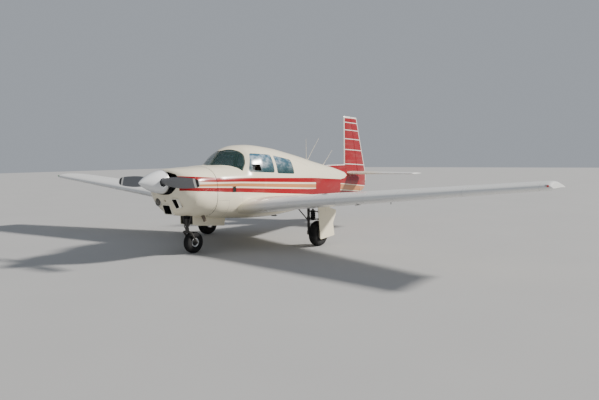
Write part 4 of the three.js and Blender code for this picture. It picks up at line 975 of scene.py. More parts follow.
def build_cabin():
    nose_well = box("nose_well", (-0.15, 0.15), (0.8, 1.69), (0.3, 0.64))
    shell = fuselage_wall("cabin_shell_skin", FIREWALL + 0.009, CABIN_REAR, SKIN)
    carve(shell, *window_cuts(0, "windscreen", "left_front", "left_rear"), nose_well, doorway(0.0005),
          hatchway(0.0005), *window_cuts(0, "right_rear"))
    fit(shell, CREAM_PAINT, "airframe", ["cabin_shell"])
    fit(fuselage_solid("rear_bulkhead", CABIN_REAR - 0.024, CABIN_REAR - 0.002, SKIN - 0.001), TRIM,
        slot="cream_paint")

    door = skin_patch("cabin_door_skin", 1.8, 2.8, SKIN, 0, doorway(DOOR_GAP))
    carve(door, *window_cuts(0, "cabin_door"))
    fit(door, CREAM_PAINT, "cabin_door", ["cabin_door"])
    fit(skin_patch("baggage_door_skin", 3.3, 3.88, SKIN, 0, hatchway(DOOR_GAP)), CREAM_PAINT,
        "baggage_door", ["baggage_door"])


def build_glass():
    for window, span, finish, node in (("windscreen", (1.15, 2.1), GLASS, "windscreen"),
            ("left_front", (1.85, 2.7), SIDE_GLASS, "left_front_window"),
            ("cabin_door", (1.85, 2.7), SIDE_GLASS, "cabin_door_window"),
            ("left_rear", (2.55, 3.35), SIDE_GLASS, "left_rear_window"),
            ("right_rear", (2.55, 3.35), SIDE_GLASS, "right_rear_window")):
        glass = skin_patch(f"{window}_pane", *span, 0.006, 0.004, *window_cuts(0.0004, window))
        if window == "left_front":
            carve(glass, side_prism("storm_cut", rounded(STORM_WINDOW, 0.012), 0, WIDE))
        fit(glass, finish, "cabin_door" if window == "cabin_door" else "airframe", [node])


INLET = [(0.118, 1.13), (0.15, 1.08), (0.27, 1.085), (0.298, 1.15), (0.298, 1.28), (0.248, 1.33),
         (0.06, 1.368), (0.06, 1.332), (0.118, 1.29)]
CENTRE_INTAKE = [(-0.084, 0.698), (0.084, 0.698), (0.084, 0.838), (-0.084, 0.838)]
SIDE_INTAKE = [(0.18, 0.94), (0.288, 0.943), (0.305, 0.822), (0.222, 0.796)]
MOUTH_HALF = [(0.1, 1.366), (0.245, 1.332), (0.294, 1.28), (0.292, 1.15), (0.276, 1.1), (0.216, 1.051),
              (0.111, 1.014)]
MOUTH = [(0, 1.374), *MOUTH_HALF, (0, 1.006), *[(-x, z) for x, z in MOUTH_HALF[::-1]]]
LAMP = (-0.176, 0.888, 0.063)
SMALL_HOLE = (0, 0.913, 0.017)
THRUST_Z = 1.212
SHAFT_HOLE = 0.095
# The nose's rounded front edge as distance ahead of the first section, depth inside it
NOSE_EDGE = [(0.0135, 0.06), (0.0125, 0.036), (0.0095, 0.018), (0.0045, 0.006)]


def nose_tool(name, outline):
    return prism(name, "y", outline, NOSE_Y + 0.4, NOSE_Y + 0.68)


def round_tool(x, z, radius):
    return rod("round_tool", at(x, 0.4, z), at(x, 0.66, z), radius, 40)


def build_cowling():
    rings = [fuselage_ring(COWL_FRONT, depth) - np.array([0, ahead, 0]) for ahead, depth in NOSE_EDGE]
    rings += [fuselage_ring(s) for s in stations(COWL_FRONT, BOWL_REAR + 0.1, 0.012)]
    bowl = loft("nose_bowl_skin", rings)
    inner = fuselage_solid("bowl_inside", COWL_FRONT + 0.008, 0.9, COWL_SKIN + 0.004, 0.02)
    behind = box("behind", (-1, 1), (BOWL_REAR - SEAM, 1.0), (0.3, 1.6))
    tools = [inner, behind, nose_tool("centre_cut", rounded(CENTRE_INTAKE, 0.014)),
             nose_tool("side_cut", rounded(SIDE_INTAKE, 0.012)), round_tool(*LAMP), round_tool(*SMALL_HOLE),
             nose_tool("mouth", rounded(MOUTH, 0.04))]
    carve(bowl, *tools)
    fit(bowl, CREAM_PAINT, "airframe", ["nose_bowl"])
    # A near-black plate behind the mouth round the spinner: painted shade in that gap
    recess = prism("mouth_recess", "y", inset(rounded(MOUTH, 0.04), -0.004), NOSE_Y + 0.5, NOSE_Y + 0.508)
    inlets = [nose_tool("inlet_cut", rounded([(side * x, z) for x, z in INLET], 0.03)) for _, side in SIDES]
    carve(recess, round_tool(0, THRUST_Z, SHAFT_HOLE), *inlets)
    fit(recess, OPENING_SHADE)
    exhaust = rod("exhaust_cut", at(0.23, 0.975, 0.83), at(0.262, 1.085, 0.545), 0.0274)
    leg_gap = box("leg_gap", (-0.15, 0.15), (0.8, 1.3), (0.3, 0.69))
    for name, low, high, tools in (("lower_cowl", 0.3, COWL_SPLIT_Z - SEAM, [exhaust, leg_gap]),
            ("upper_cowl", COWL_SPLIT_Z + SEAM, 1.6, [])):
        half = fuselage_wall(f"{name}_skin", BOWL_REAR - 0.12, FIREWALL - 0.0015, COWL_SKIN)
        carve(half, box("half", (-1, 1), (BOWL_REAR + SEAM, 1.3), (low, high)), operation="INTERSECT")
        if tools:
            carve(half, *tools)
        fit(half, CREAM_PAINT, "airframe", [name])


# Aerofoils
def skin_heights(u, thickness, camber):
    half = 5 * thickness * (0.2969 * np.sqrt(u) - 0.126 * u - 0.3516 * u**2 + 0.2843 * u**3 - 0.1036 * u**4)
    bend = 4 * camber * u * (1 - u)
    return bend + half, bend - half, bend, half


def chord_places(start, end, count):
    """Places on the chord, closer together near its ends."""
    return mix(start, end, (1 - np.cos(np.linspace(0, pi, count))) / 2)


def aerofoil(thickness, camber, count=40):
    places = chord_places(0, 1, count)
    upper, lower = skin_heights(places, thickness, camber)[:2]
    return np.concatenate([np.stack([places, upper], 1), np.stack([places, lower], 1)[-2:0:-1]])


def hinged_profile(start, thickness, camber, radius, count=26, middle=None):
    """The part of an aerofoil behind a hinge at start, with a round nose about the hinge."""
    places = chord_places(start, 1, count)
    upper, lower, bend, _ = skin_heights(places, thickness, camber)
    arc = np.linspace(-pi / 2, -1.5 * pi, 18)[1:-1]
    centre = bend[0] if middle is None else middle
    nose = np.stack([start + radius * np.cos(arc), centre + radius * np.sin(arc)], 1)
    return np.concatenate([np.stack([places, upper], 1), np.stack([places, lower], 1)[-2::-1], nose])


def wing_plan(x):
    trailing = WING_LEADING + mix(ROOT_CHORD, TIP_CHORD, x / SPAN_HALF)
    glove = max(0.0, (GLOVE_END - x) / (GLOVE_END - 0.5))
    leading = WING_LEADING - (WING_LEADING - GLOVE_LEADING) * glove**1.25
    return leading, trailing, ROOT_Z + x * tan(DIHEDRAL)


def wing_thickness(x):
    return mix(*WING_THICK, x / SPAN_HALF)


def wing_points(side, x, profile, trim=0.0):
    leading, trailing, height = wing_plan(x)
    twist = radians(mix(*WING_TWIST, x / SPAN_HALF))
    chord = trailing - leading - trim * 1.6
    aft = profile[:, 0] * chord + trim
    return np.stack([np.full(len(aft), side * x), NOSE_Y + leading + aft,
                     height + profile[:, 1] * chord - aft * sin(twist)], 1)


def wing_hinge(side, x, fraction):
    """The place of a hinge line, and half the wing's thickness there."""
    leading, trailing, _ = wing_plan(x)
    chord = trailing - leading
    u = (WING_LEADING + fraction * (trailing - WING_LEADING) - leading) / chord
    _, _, bend, half = skin_heights(np.array(u), wing_thickness(x), WING_CAMBER)
    place = wing_points(side, x, np.array([[u, bend]]))[0]
    return Vector(place), float(half * chord), float(u)


def wing_stations():
    inner = np.linspace(WING_ROOT_X, GLOVE_END, 22)
    outer = np.linspace(GLOVE_END, TIP_START, 40)[1:]
    return np.concatenate([inner, outer])


def wing_rings(side):
    rings = [wing_points(side, x, aerofoil(wing_thickness(x), WING_CAMBER)) for x in wing_stations()]
    for t in np.sin(np.linspace(0, pi / 2, 12))[1:]:
        x = mix(TIP_START, SPAN_HALF, t)
        shrink = max(0.55, (1 - t**8) ** 0.5)
        ring = wing_points(side, x, aerofoil(wing_thickness(x) * shrink, WING_CAMBER), 0.03 * t**8)
        aft = (ring[:, 1] - NOSE_Y - WING_LEADING) / TIP_CHORD
        ring[:, 2] -= TIP_DROOP * t * np.clip(aft, 0, 1) ** 1.5
        rings.append(ring)
    return rings


def hinge_line(side, spec, x):
    """A point on the straight line through a hinge's two ends, and the radius of the nose about it."""
    ends = [wing_hinge(side, spec[key], spec["chord"]) for key in ("from", "to")]
    (start, thick_start, _), (end, thick_end, _) = ends
    t = (x - spec["from"]) / (spec["to"] - spec["from"])
    return start.lerp(end, t), mix(thick_start, thick_end, t) * spec["nose"]


def surface_rings(side, spec):
    rings = []
    for x in np.linspace(spec["from"], spec["to"], 30):
        place, radius = hinge_line(side, spec, x)
        leading, trailing, height = wing_plan(x)
        chord = trailing - leading
        aft = place.y - NOSE_Y - leading
        twist = radians(mix(*WING_TWIST, x / SPAN_HALF))
        middle = (place.z - height + aft * sin(twist)) / chord
        profile = hinged_profile(aft / chord, wing_thickness(x), WING_CAMBER, radius / chord, middle=middle)
        rings.append(wing_points(side, x, profile))
    return rings


def cove_tools(side, spec):
    """What clears a moving surface out of the wing: a round channel and all behind it."""
    low, high = spec["from"] - MOVING_GAP, spec["to"] + MOVING_GAP
    (start, thick_low), (end, thick_high) = (hinge_line(side, spec, x) for x in (low, high))
    channel = rod("channel", start, end, thick_low + MOVING_GAP, 48, thick_high + MOVING_GAP)
    behind = prism("behind", "z", [(start.x, start.y), (end.x, end.y), (end.x, 1.2), (start.x, 1.2)], 0, 2)
    return [channel, behind]


WHEEL_WELL = {"x": 0.93, "radius": 0.262, "ceiling": 0.79, "front": 2.56, "rear": 2.9, "outer": 1.45}
MAIN_AXLE_Y = JOINTS["left_wheel_spin"]["pos_m"][1]


def build_wing(name, side, body_space):
    wing = loft(f"{name}_wing_skin", wing_rings(side))
    well = rod("well", (side * WHEEL_WELL["x"], MAIN_AXLE_Y, 0),
               (side * WHEEL_WELL["x"], MAIN_AXLE_Y, WHEEL_WELL["ceiling"]), WHEEL_WELL["radius"], 64)
    slot = box("leg_slot", sorted((side * WHEEL_WELL["x"], side * WHEEL_WELL["outer"])),
               (WHEEL_WELL["front"], WHEEL_WELL["rear"]), (0, WHEEL_WELL["ceiling"]))
    carve(wing, body_space, keep=True)
    carve(wing, well, slot, *cove_tools(side, FLAP), *cove_tools(side, AILERON))
    fit(wing, WHITE_PAINT, "airframe", [f"{name}_wing"], 28)
    for kind, spec in (("flap", FLAP), ("aileron", AILERON)):
        fit(loft(f"{name}_{kind}_skin", surface_rings(side, spec)), WHITE_PAINT, f"{name}_{kind}",
            [f"{name}_{kind}"], 28)


# Tail
def hinge_share(z):
    """How far up the rudder's hinge line a height is."""
    (_, low), (_, top) = RUDDER_HINGE
    return (z - low) / (top - low)


def hinge_station(z):
    return mix(RUDDER_HINGE[0][0], RUDDER_HINGE[1][0], hinge_share(z))


def upright_points(z, profile, trailing, leading=FIN_LEADING):
    chord = trailing - leading
    return np.stack([profile[:, 1] * chord, NOSE_Y + leading + profile[:, 0] * chord,
                     np.full(len(profile), z)], 1)


def fin_trailing(z):
    return mix(TRAILING_LOW, TRAILING_TOP, max(0.0, z - FIN_BASE_Z) / (TOP_Z - FIN_BASE_Z))


RUDDER_LOW = np.array([[0.684, 6.735], [0.712, 6.85], [0.775, 6.965], [0.87, 7.035], [1.01, 7.06],
        [1.18, 7.06]])
NOSE_RADIUS = (0.04, 0.022)
FIN_THICK = 0.086
FIN_CAP = 0.03


def rudder_nose(z):
    return mix(*NOSE_RADIUS, hinge_share(z))


def rudder_trailing(z):
    if z >= RUDDER_LOW[-1][0]:
        return fin_trailing(z)
    return float(smooth(RUDDER_LOW, 1, z))


def rudder_cove():
    low, high = 0.5, 2.7
    ahead = [(NOSE_Y + hinge_station(z) - rudder_nose(z) - MOVING_GAP, z) for z in (low, high)]
    return prism("rudder_cove", "x", [ahead[0], ahead[1], (NOSE_Y + 7.6, high), (NOSE_Y + 7.6, low)], -0.7,
                 0.7)


def build_tail(body_space):
    cone = fuselage_solid("tail_cone_skin", CABIN_REAR + 0.0015, TAIL_END)
    carve(cone, rudder_cove())
    dorsal_rings = []
    for station in stations(DORSAL_FRONT - 0.02, FIN_LEADING + 0.02, 0.03):
        t = min(1, (station - DORSAL_FRONT + 0.02) / 0.42)
        half = mix(0.012, 0.03, t)
        top = mix(1.372, DORSAL_TOP, min(1, t * 3))
        ring = [(-half * 1.5, 1.15), (half * 1.5, 1.15), (half, top - 0.05)]
        ring += [(half * cos(a), top - half * 0.9 + half * 0.9 * sin(a)) for a in np.linspace(0, pi, 9)]
        ring += [(-half, top - 0.05)]
        dorsal_rings.append([at(x, station, z) for x, z in ring])
    dorsal = loft("dorsal_strip", dorsal_rings)
    fit(cone, CREAM_PAINT, "airframe", ["tail_cone"])
    fit(dorsal, TAIL_PAINT, slot="cream_paint")

    fin_rings = []
    for z in list(np.linspace(1.1, TOP_Z - FIN_CAP, 40)) + [TOP_Z - 0.014, TOP_Z - 0.004, TOP_Z]:
        drop = max(0.0, z - (TOP_Z - FIN_CAP)) / FIN_CAP
        thickness = FIN_THICK * mix(1, 0.35, drop**2)
        fin_rings.append(upright_points(z, aerofoil(thickness, 0), fin_trailing(z) - 0.012 * drop**2,
                FIN_LEADING + 0.012 * drop**2))
    fin = loft("fin_skin", fin_rings)
    carve(fin, rudder_cove(), box("fin_foot", (-1, 1), (5, 8), (0.5, 1.12)))
    fit(fin, TAIL_PAINT, "airframe", ["fin"])

    rudder_rings = []
    for z in list(np.linspace(0.688, 1.18, 24)) + list(np.linspace(1.18, TOP_Z - 0.008, 44))[1:]:
        leading, trailing = FIN_LEADING, fin_trailing(z)
        chord = trailing - leading
        start = (hinge_station(z) - leading) / chord
        half = float(skin_heights(np.array(start), FIN_THICK, 0)[3]) * chord
        real_end = rudder_trailing(z)
        profile = hinged_profile(start, FIN_THICK, 0, min(rudder_nose(z), half * 0.98) / chord)
        behind = profile[:, 0] > start
        squeeze = (real_end - leading - start * chord) / (chord - start * chord)
        profile[behind, 0] = start + (profile[behind, 0] - start) * squeeze
        rudder_rings.append(upright_points(z, profile, trailing))
    fit(loft("rudder_skin", rudder_rings), TAIL_PAINT, "rudder", ["rudder"])
    for name, side in SIDES:
        build_stabiliser(name, side, body_space)


def stab_points(side, x, profile, trim=0.0):
    chord = mix(STAB_ROOT, STAB_TIP, x / STAB_HALF) - trim * 1.6
    aft = profile[:, 0] * chord + trim
    return np.stack([np.full(len(aft), side * x), NOSE_Y + STAB_LEADING + aft,
                     STAB_Z + profile[:, 1] * chord], 1)


STAB_THICK = 0.088
STAB_INNER = 0.056
STAB_TIP_START = 1.69
ELEVATOR_ROOT = ((0.1, 6.325), (0.215, 6.91))
ELEVATOR_TIP = 1.73


def elevator_nose(x):
    return mix(0.038, 0.012, x / STAB_HALF)


def build_stabiliser(name, side, body_space):
    rings = [stab_points(side, x, aerofoil(STAB_THICK, 0, 30)) for x in np.linspace(STAB_INNER,
            STAB_TIP_START, 36)]
    for t in np.sin(np.linspace(0, pi / 2, 9))[1:]:
        x = mix(STAB_TIP_START, STAB_HALF, t)
        shrink = max(0.5, (1 - t**8) ** 0.5)
        rings.append(stab_points(side, x, aerofoil(STAB_THICK * shrink, 0, 30), 0.015 * t**8))
    stabiliser = loft(f"{name}_stabiliser_skin", rings)
    carve(stabiliser, body_space, keep=True)
    end = ELEVATOR_TIP + MOVING_GAP
    channel = rod("channel", at(0, ELEVATOR_HINGE, STAB_Z), at(side * end, ELEVATOR_HINGE, STAB_Z),
                  elevator_nose(0) + MOVING_GAP, 40, elevator_nose(end) + MOVING_GAP)
    behind = box("behind", sorted((0, side * end)), (ELEVATOR_HINGE, 7.4), (0.9, 1.5))
    carve(stabiliser, channel, behind)
    fit(stabiliser, WHITE_PAINT, "airframe", [f"{name}_stabiliser"], 28)

    rings = []
    for x in np.linspace(ELEVATOR_ROOT[0][0], ELEVATOR_TIP, 34):
        chord = mix(STAB_ROOT, STAB_TIP, x / STAB_HALF)
        start = (ELEVATOR_HINGE - STAB_LEADING) / chord
        half = float(skin_heights(np.array(start), STAB_THICK, 0)[3])
        rings.append(stab_points(side, x, hinged_profile(start, STAB_THICK, 0,
                min(elevator_nose(x) / chord, half))))
    elevator = loft(f"{name}_elevator_skin", rings)
    (front_x, front_s), (rear_x, rear_s) = ELEVATOR_ROOT
    root = prism("root_cut", "z", [(0, NOSE_Y + 6.2), (side * front_x, NOSE_Y + front_s),
            (side * rear_x, NOSE_Y + rear_s), (0, NOSE_Y + 7.2)], 0.9, 1.5)
    carve(elevator, root)
    fit(elevator, WHITE_PAINT, "elevators", [f"{name}_elevator"], 28)


# Spinner and propeller
SPINNER_LENGTH = 0.44
SPINNER_RADIUS = 0.184
SPINNER_CURVE = (1.7, 0.85)
SPINNER_WALL = 0.006
BLADE_STATION = 0.34
BLADE_HOLE = 0.066
CRANK_END = 0.4455
# Columns: radius, chord, thickness, pitch in degrees
BLADES = np.array([
    [0.095, 0.092, 0.070, 40],
    [0.170, 0.124, 0.044, 36],
    [0.300, 0.166, 0.028, 29],
    [0.480, 0.186, 0.021, 23],
    [0.700, 0.170, 0.014, 18],
    [0.880, 0.132, 0.009, 15],
    [0.940, 0.100, 0.006, 14],
])


def spinner_radius(d):
    inner, outer = SPINNER_CURVE
    return SPINNER_RADIUS * max(0.0, 1 - (1 - d / SPINNER_LENGTH) ** inner) ** outer


def build_spinner():
    steps = [SPINNER_LENGTH * t**1.8 for t in np.linspace(0.03, 1, 30)]
    origin = at(0, 0, THRUST_Z)
    outside = [(spinner_radius(d), d) for d in steps] + [(SPINNER_RADIUS - 0.004, SPINNER_LENGTH)]
    outer = turned("spinner_shell", outside, origin, (0, 1, 0), 96)
    inside = [(spinner_radius(d) - SPINNER_WALL, d) for d in steps if 0.03 < d < 0.432]
    inner = turned("spinner_inside", inside + [(SPINNER_RADIUS - 0.008, 0.434)], origin, (0, 1, 0), 64)
    holes = [rod("blade_hole", at(side * 0.02, BLADE_STATION, THRUST_Z),
                 at(side * 0.3, BLADE_STATION, THRUST_Z), BLADE_HOLE, 48) for _, side in SIDES]
    hub_hole = rod("hub_hole", at(0, 0.42, THRUST_Z), at(0, 0.46, THRUST_Z), 0.061, 40)
    carve(outer, inner, hub_hole, *holes)
    fit(outer, SPINNER_PAINT, "propeller", ["spinner"], 35)
    fit(turned("spinner_band", [(SPINNER_RADIUS - 0.001, 0.4175), (SPINNER_RADIUS + 0.0012, 0.4195),
            (SPINNER_RADIUS + 0.0012, 0.4375), (SPINNER_RADIUS - 0.001, 0.4395),
            (SPINNER_RADIUS - 0.001, 0.4175)], origin, (0, 1, 0), 96), ALLOY, "propeller")
    heads = []
    for k in range(16):
        a = 2 * pi * (k + 0.5) / 16
        way = Vector((cos(a), 0, sin(a)))
        heads.append((at(0, 0.428, THRUST_Z) + way * (SPINNER_RADIUS + 0.0008), way))
    studs("spinner_screws", heads, 0.0042, 0.0018, SCREW_HEAD, "propeller", "bare_alloy")


def blade_ring(side, radius):
    chord, thick, pitch = (float(smooth(BLADES, column, radius)) for column in (1, 2, 3))
    turn = radians(pitch)
    tip = max(0.0, (radius - 0.86) / 0.08)
    chord *= sqrt(max(0.02, 1 - (tip**3) * 0.75))
    ring = []
    for a in circle(36):
        c = cos(a) * chord / 2
        full = 1 + 0.35 * cos(a) * side
        t = sin(a) * thick / 2 * full
        ring.append(at(side * radius, BLADE_STATION - c * sin(turn) + t * cos(turn),
                       THRUST_Z + side * (c * cos(turn) + t * sin(turn))))
    return [tuple(p) for p in ring]


def build_propeller():
    pieces = []
    for _, side in SIDES:
        places = list(np.linspace(0.095, 0.86, 34)) + [0.88, 0.9, 0.915, 0.928, 0.936, 0.94]
        pieces.append(loft("blade", [blade_ring(side, r) for r in places]))
        root = at(side * 0.02, BLADE_STATION, THRUST_Z)
        pieces.append(stepped("blade_root", root, root + Vector((side * 0.098, 0, 0)),
                              [(0, 0.044), (0.5, 0.044), (0.52, 0.052), (0.66, 0.052), (0.68, 0.044),
                (0.9, 0.04), (1, 0.034)], 40))
    fit(merge("propeller_blades", *pieces), BLADE_PAINT, "propeller", ["propeller"], 30)
    fit(stepped("propeller_hub", at(0, 0.262, THRUST_Z), at(0, CRANK_END, THRUST_Z),
                [(0, 0.03), (0.06, 0.05), (0.15, 0.06), (0.72, 0.06), (0.74, 0.048), (0.9, 0.048),
                 (0.92, 0.0595), (1, 0.0595)], 40), ALLOY, "propeller")


# Nose details
def build_nose_fittings():
    x, z, radius = LAMP
    surface = COWL_FRONT + float(rake_at(COWL_FRONT, z)) - 0.01
    middle = at(x, surface, z)
    fit(turned("lamp_rim", [(radius - 0.004, 0.006), (radius - 0.002, -0.003), (radius + 0.004, -0.005),
            (radius + 0.009, -0.001), (radius + 0.009, 0.012), (radius - 0.004, 0.012),
            (radius - 0.004, 0.006)], middle, (0, 1, 0), 48), ALLOY)
    fit(turned("lamp_glass", [(0.002, -0.006), (0.02, -0.0052), (0.038, -0.002), (radius - 0.0045, 0.004),
            (radius - 0.0045, 0.008), (0.002, 0.008)], middle, (0, 1, 0), 40), LAMP_LENS)
    fit(turned("lamp_reflector", [(radius - 0.005, 0.009), (radius - 0.008, 0.022), (0.034, 0.042),
            (0.012, 0.052), (0.01, 0.056), (0.04, 0.046), (radius - 0.004, 0.026), (radius - 0.0035, 0.009),
            (radius - 0.005, 0.009)], middle, (0, 1, 0), 40), REFLECTOR)
    for name, outline, trim in (("centre_intake_lip", CENTRE_INTAKE, 0.014),
            ("side_intake_lip", SIDE_INTAKE, 0.012)):
        fit(leaning_frame(name, rounded(outline, trim), 0.015, 0.05, 0.028), LIP_PAINT, angle=40)
        # Near-black duct walls behind each lip: painted shade inside the intake
        fit(leaning_frame(f"{name}_duct", inset(rounded(outline, trim), 0.0035), 0.003, 0.11, 0.019), OPENING_SHADE,
            angle=40)
    # Near-black screens across the intakes: painted shade deep in the openings
    for name, outline, station in (("intake_screen", CENTRE_INTAKE, 0.672),
            ("side_intake_screen", SIDE_INTAKE, 0.61)):
        fit(prism(name, "y", inset(rounded(outline, 0.012), -0.002), NOSE_Y + station,
                  NOSE_Y + station + 0.003), OPENING_SHADE)
    for name, side in SIDES:
        outline = [(side * x, z) for x, z in ((0.1, 1.03), (0.34, 1.03), (0.34, 1.33), (0.05, 1.36))]
        # A near-black baffle behind each inlet: painted shade inside it
        fit(prism(f"{name}_baffle", "y", rounded(outline, 0.03), NOSE_Y + 0.655, NOSE_Y + 0.658), OPENING_SHADE)
        fins = []
        for k in range(9):
            height = 1.07 + 0.024 * k
            outline = rounded([(side * 0.135, NOSE_Y + 0.618), (side * 0.285, NOSE_Y + 0.618),
                               (side * 0.3, NOSE_Y + 0.654), (side * 0.12, NOSE_Y + 0.654)], 0.012, 4)
            fins.append(prism("fin_plate", "z", outline, height, height + 0.004))
        fit(merge(f"{name}_cylinder_fins", *fins), ENGINE_GREY)


SCREW_RING = 512


def skin_place(station, share):
    """A point on the fuselage skin at a share of the way round from the belly, and the way it faces."""
    here, aft = (fuselage_ring(s, 0, SCREW_RING) for s in (station, station + 0.012))
    i = int(share * SCREW_RING) % SCREW_RING
    way = np.cross(aft[i] - here[i], here[(i + 2) % SCREW_RING] - here[i - 2])
    return Vector(here[i]), Vector(way).normalized()


def build_screws():
    rows = []
    for station, count in ((BOWL_REAR + 0.016, 26), (FIREWALL - 0.018, 30), (FIREWALL + 0.026, 26)):
        for k in range(count):
            share = (k + 0.5) / count
            if 0.06 < share < 0.94:
                rows.append(skin_place(station, share))
    for k in range(36):
        share = (k + 0.5) / 36
        rows.append(skin_place(CABIN_REAR + 0.022, share))
    for station in np.arange(BOWL_REAR + 0.05, FIREWALL - 0.03, 0.075):
        ring = fuselage_ring(station, 0, SCREW_RING)
        for _, side in SIDES:
            offsets = np.abs(ring[:, 2] - COWL_SPLIT_Z - 0.016) + np.where(side * ring[:, 0] < 0, 9, 0)
            rows.append(skin_place(station, int(np.argmin(offsets)) / SCREW_RING))
    for station in np.arange(1.24, 3.86, 0.13):
        rows.extend(skin_place(station, share) for share in (0.135, 0.865))
    for station in np.arange(4.0, 6.2, 0.15):
        rows.extend(skin_place(station, share) for share in (0.09, 0.91, 0.4, 0.6))
    studs("fuselage_screws", rows, 0.0034, 0.0012, SCREW_HEAD, "airframe", "cream_paint")


def wing_place(side, x, share, upper):
    """A point on a wing's skin at a share of its chord, and the way it faces."""
    up, low, _, _ = skin_heights(np.array([share, share + 0.01]), wing_thickness(x), WING_CAMBER)
    heights = up if upper else low
    points = wing_points(side, x, np.stack([np.array([share, share + 0.01]), heights], 1))
    aft = Vector(points[1] - points[0]).normalized()
    way = Vector((0, -aft.z, aft.y)) * (1 if upper else -1)
    return Vector(points[0]), way.normalized()


def build_wing_fittings(name, side):
    heads = []
    for upper in (True, False):
        for x in (TIP_START - 0.03, 3.31, 2.3):
            heads.extend(wing_place(side, x, share, upper) for share in np.arange(0.06, 0.7, 0.05))
        for share in (0.12, 0.66):
            heads.extend(wing_place(side, x, share, upper) for x in np.arange(1.62, 5.1, 0.2))
    studs(f"{name}_wing_screws", heads, 0.0034, 0.0011, SCREW_HEAD, "airframe", "white_paint")
    place, way = wing_place(side, 1.95, 0.2, True)
    fit(turned(f"{name}_fuel_cap", [(0.002, 0.0045), (0.014, 0.0045), (0.016, 0.003), (0.04, 0.003),
            (0.043, 0.0015), (0.056, 0.0012), (0.058, -0.004), (0.002, -0.004)], place, way, 48), ALLOY)
    grip = [place + way * 0.003 + Vector((d, 0, 0)) + way * h
            for d, h in ((-0.026, 0), (-0.022, 0.005), (0, 0.006), (0.022, 0.005), (0.026, 0))]
    fit(tube(f"{name}_cap_grip", curve(grip), 0.0025, 8), CHROME)
    # Wing tip light on its base at the tip's leading edge
    tip = SPAN_HALF - 0.052
    front, _ = wing_place(side, tip, 0.012, True)
    base = front + Vector((0, 0.01, -0.004))
    path = [base + Vector((side * d, -0.004, 0)) for d in (-0.03, -0.022, 0.018, 0.024)]
    fit(tube(f"{name}_light_base", path, [0.01, 0.016, 0.016, 0.012], 20), ALLOY)
    fit(turned(f"{name}_position_light", [(0.002, 0.026), (0.008, 0.0245), (0.0125, 0.019), (0.0145, 0.01),
            (0.0145, 0), (0.002, 0)], base + Vector((side * 0.002, -0.006, 0)), (side * 0.35, -1, 0), 28),
        PORT_LENS if side > 0 else STARBOARD_LENS)
    # Ring under the wing for tying down
    low, _ = wing_place(side, 3.05, 0.3, False)
    ring = [low + Vector((0, 0.016 * cos(a), -0.017 + 0.016 * sin(a))) for a in circle(20)]
    fit(tube(f"{name}_tie_ring", ring, 0.003, 8, True), GEAR_STEEL)
    for kind, spec, places in (("aileron", AILERON, (3.62, 4.78)), ("flap", FLAP, (0.96, 2.99))):
        for k, x in enumerate(places):
            add_bracket(f"{name}_{kind}_bracket_{k}", *hinge_line(side, spec, x))


def add_bracket(name, middle, radius):
    """The arm that carries a wing surface from below, ahead of its nose."""
    outline = [(-radius - 0.055, -radius * 0.55), (-radius - 0.012, -radius * 0.95), (0, -radius - 0.016),
               (0.012, -radius - 0.008), (0.01, -radius * 0.4), (-radius * 0.2, -0.2 * radius),
               (-radius - 0.03, 0)]
    fit(prism(name, "x", [(middle.y + dy, middle.z + dz) for dy, dz in rounded(outline, 0.006, 3)],
              middle.x - 0.004, middle.x + 0.004), WHITE_PAINT)


# Landing gear
MAIN_RADIUS = 0.2225
MAIN_HALF = 0.079
MAIN_RIM = 0.092
NOSE_RADIUS_WHEEL = 0.178
NOSE_HALF = 0.062
NOSE_RIM = 0.074
MAIN_X = 1.381
LEG_X = 1.259
LEG_STATION = 2.625
MAIN_AXLE = 2.751
GEAR_DOOR_X = 1.494
NOSE_AXLE = 1.06


def build_wheel(name, centre, radius, half, rim, body, rim_finish):
    across = (1, 0, 0)
    side = [(rim, -half * 0.72), (rim + 0.006, -half * 0.8), (mix(rim, radius, 0.22), -half * 0.92),
            (mix(rim, radius, 0.5), -half), (mix(rim, radius, 0.75), -half * 0.97),
            (mix(rim, radius, 0.9), -half * 0.84), (radius * 0.978, -half * 0.66),
            (radius * 0.994, -half * 0.48)]
    tread = []
    for k in range(4):
        edge = -half * 0.4 + k * half * 0.267
        groove = 0.0035
        tread += [(radius, edge - half * 0.07), (radius, edge + half * 0.045)]
        if k < 3:
            tread += [(radius - groove, edge + half * 0.06), (radius - groove, edge + half * 0.185)]
    profile = side + tread + [(r, -d) for r, d in side[::-1]]
    fit(turned(f"{name}_tyre_skin", profile + [profile[0]], centre, across, 72), RUBBER, body,
        [f"{name}_tyre"], 30)
    bore = 0.0155 if radius > 0.2 else 0.0135
    dish = [(bore, -half * 0.62), (bore + 0.016, -half * 0.62), (bore + 0.018, -half * 0.52),
            (rim * 0.62, -half * 0.46), (rim * 0.7, -half * 0.56), (rim * 0.86, -half * 0.78),
            (rim * 0.97, -half * 0.84), (rim - 0.0005, -half * 0.82), (rim - 0.0005, -half * 0.74)]
    closed = dish + [(r, -d) for r, d in dish[::-1]]
    wheel = turned(f"{name}_rim_casting", closed + [closed[0]], centre, across, 64)
    holes = []
    count = 6 if radius > 0.2 else 3
    for k in range(count):
        a = 2 * pi * k / count
        spot = centre + Vector((0, cos(a), sin(a))) * rim * 0.52
        holes.append(rod("hole", spot - Vector((half, 0, 0)), spot + Vector((half, 0, 0)), rim * 0.11, 20))
    carve(wheel, *holes)
    fit(wheel, rim_finish, body, [f"{name}_rim"], 30, slot="bare_alloy")
    bolts = []
    for k in range(count):
        a = 2 * pi * (k + 0.5) / count
        for way in (-1, 1):
            spot = centre + Vector((way * (half * 0.5), cos(a) * rim * 0.56, sin(a) * rim * 0.56))
            bolts.append((spot, Vector((way, 0, 0))))
    studs(f"{name}_bolts", bolts, 0.0045, 0.006, CHROME, body, "bare_alloy")
    valve = centre + Vector((half * 0.55, 0, rim * 0.8))
    fit(tube(f"{name}_valve", [valve, valve + Vector((0.012, 0, -0.002)),
            valve + Vector((0.016, 0, -0.002))], [0.003, 0.0025, 0.002], 8), CHROME, body)


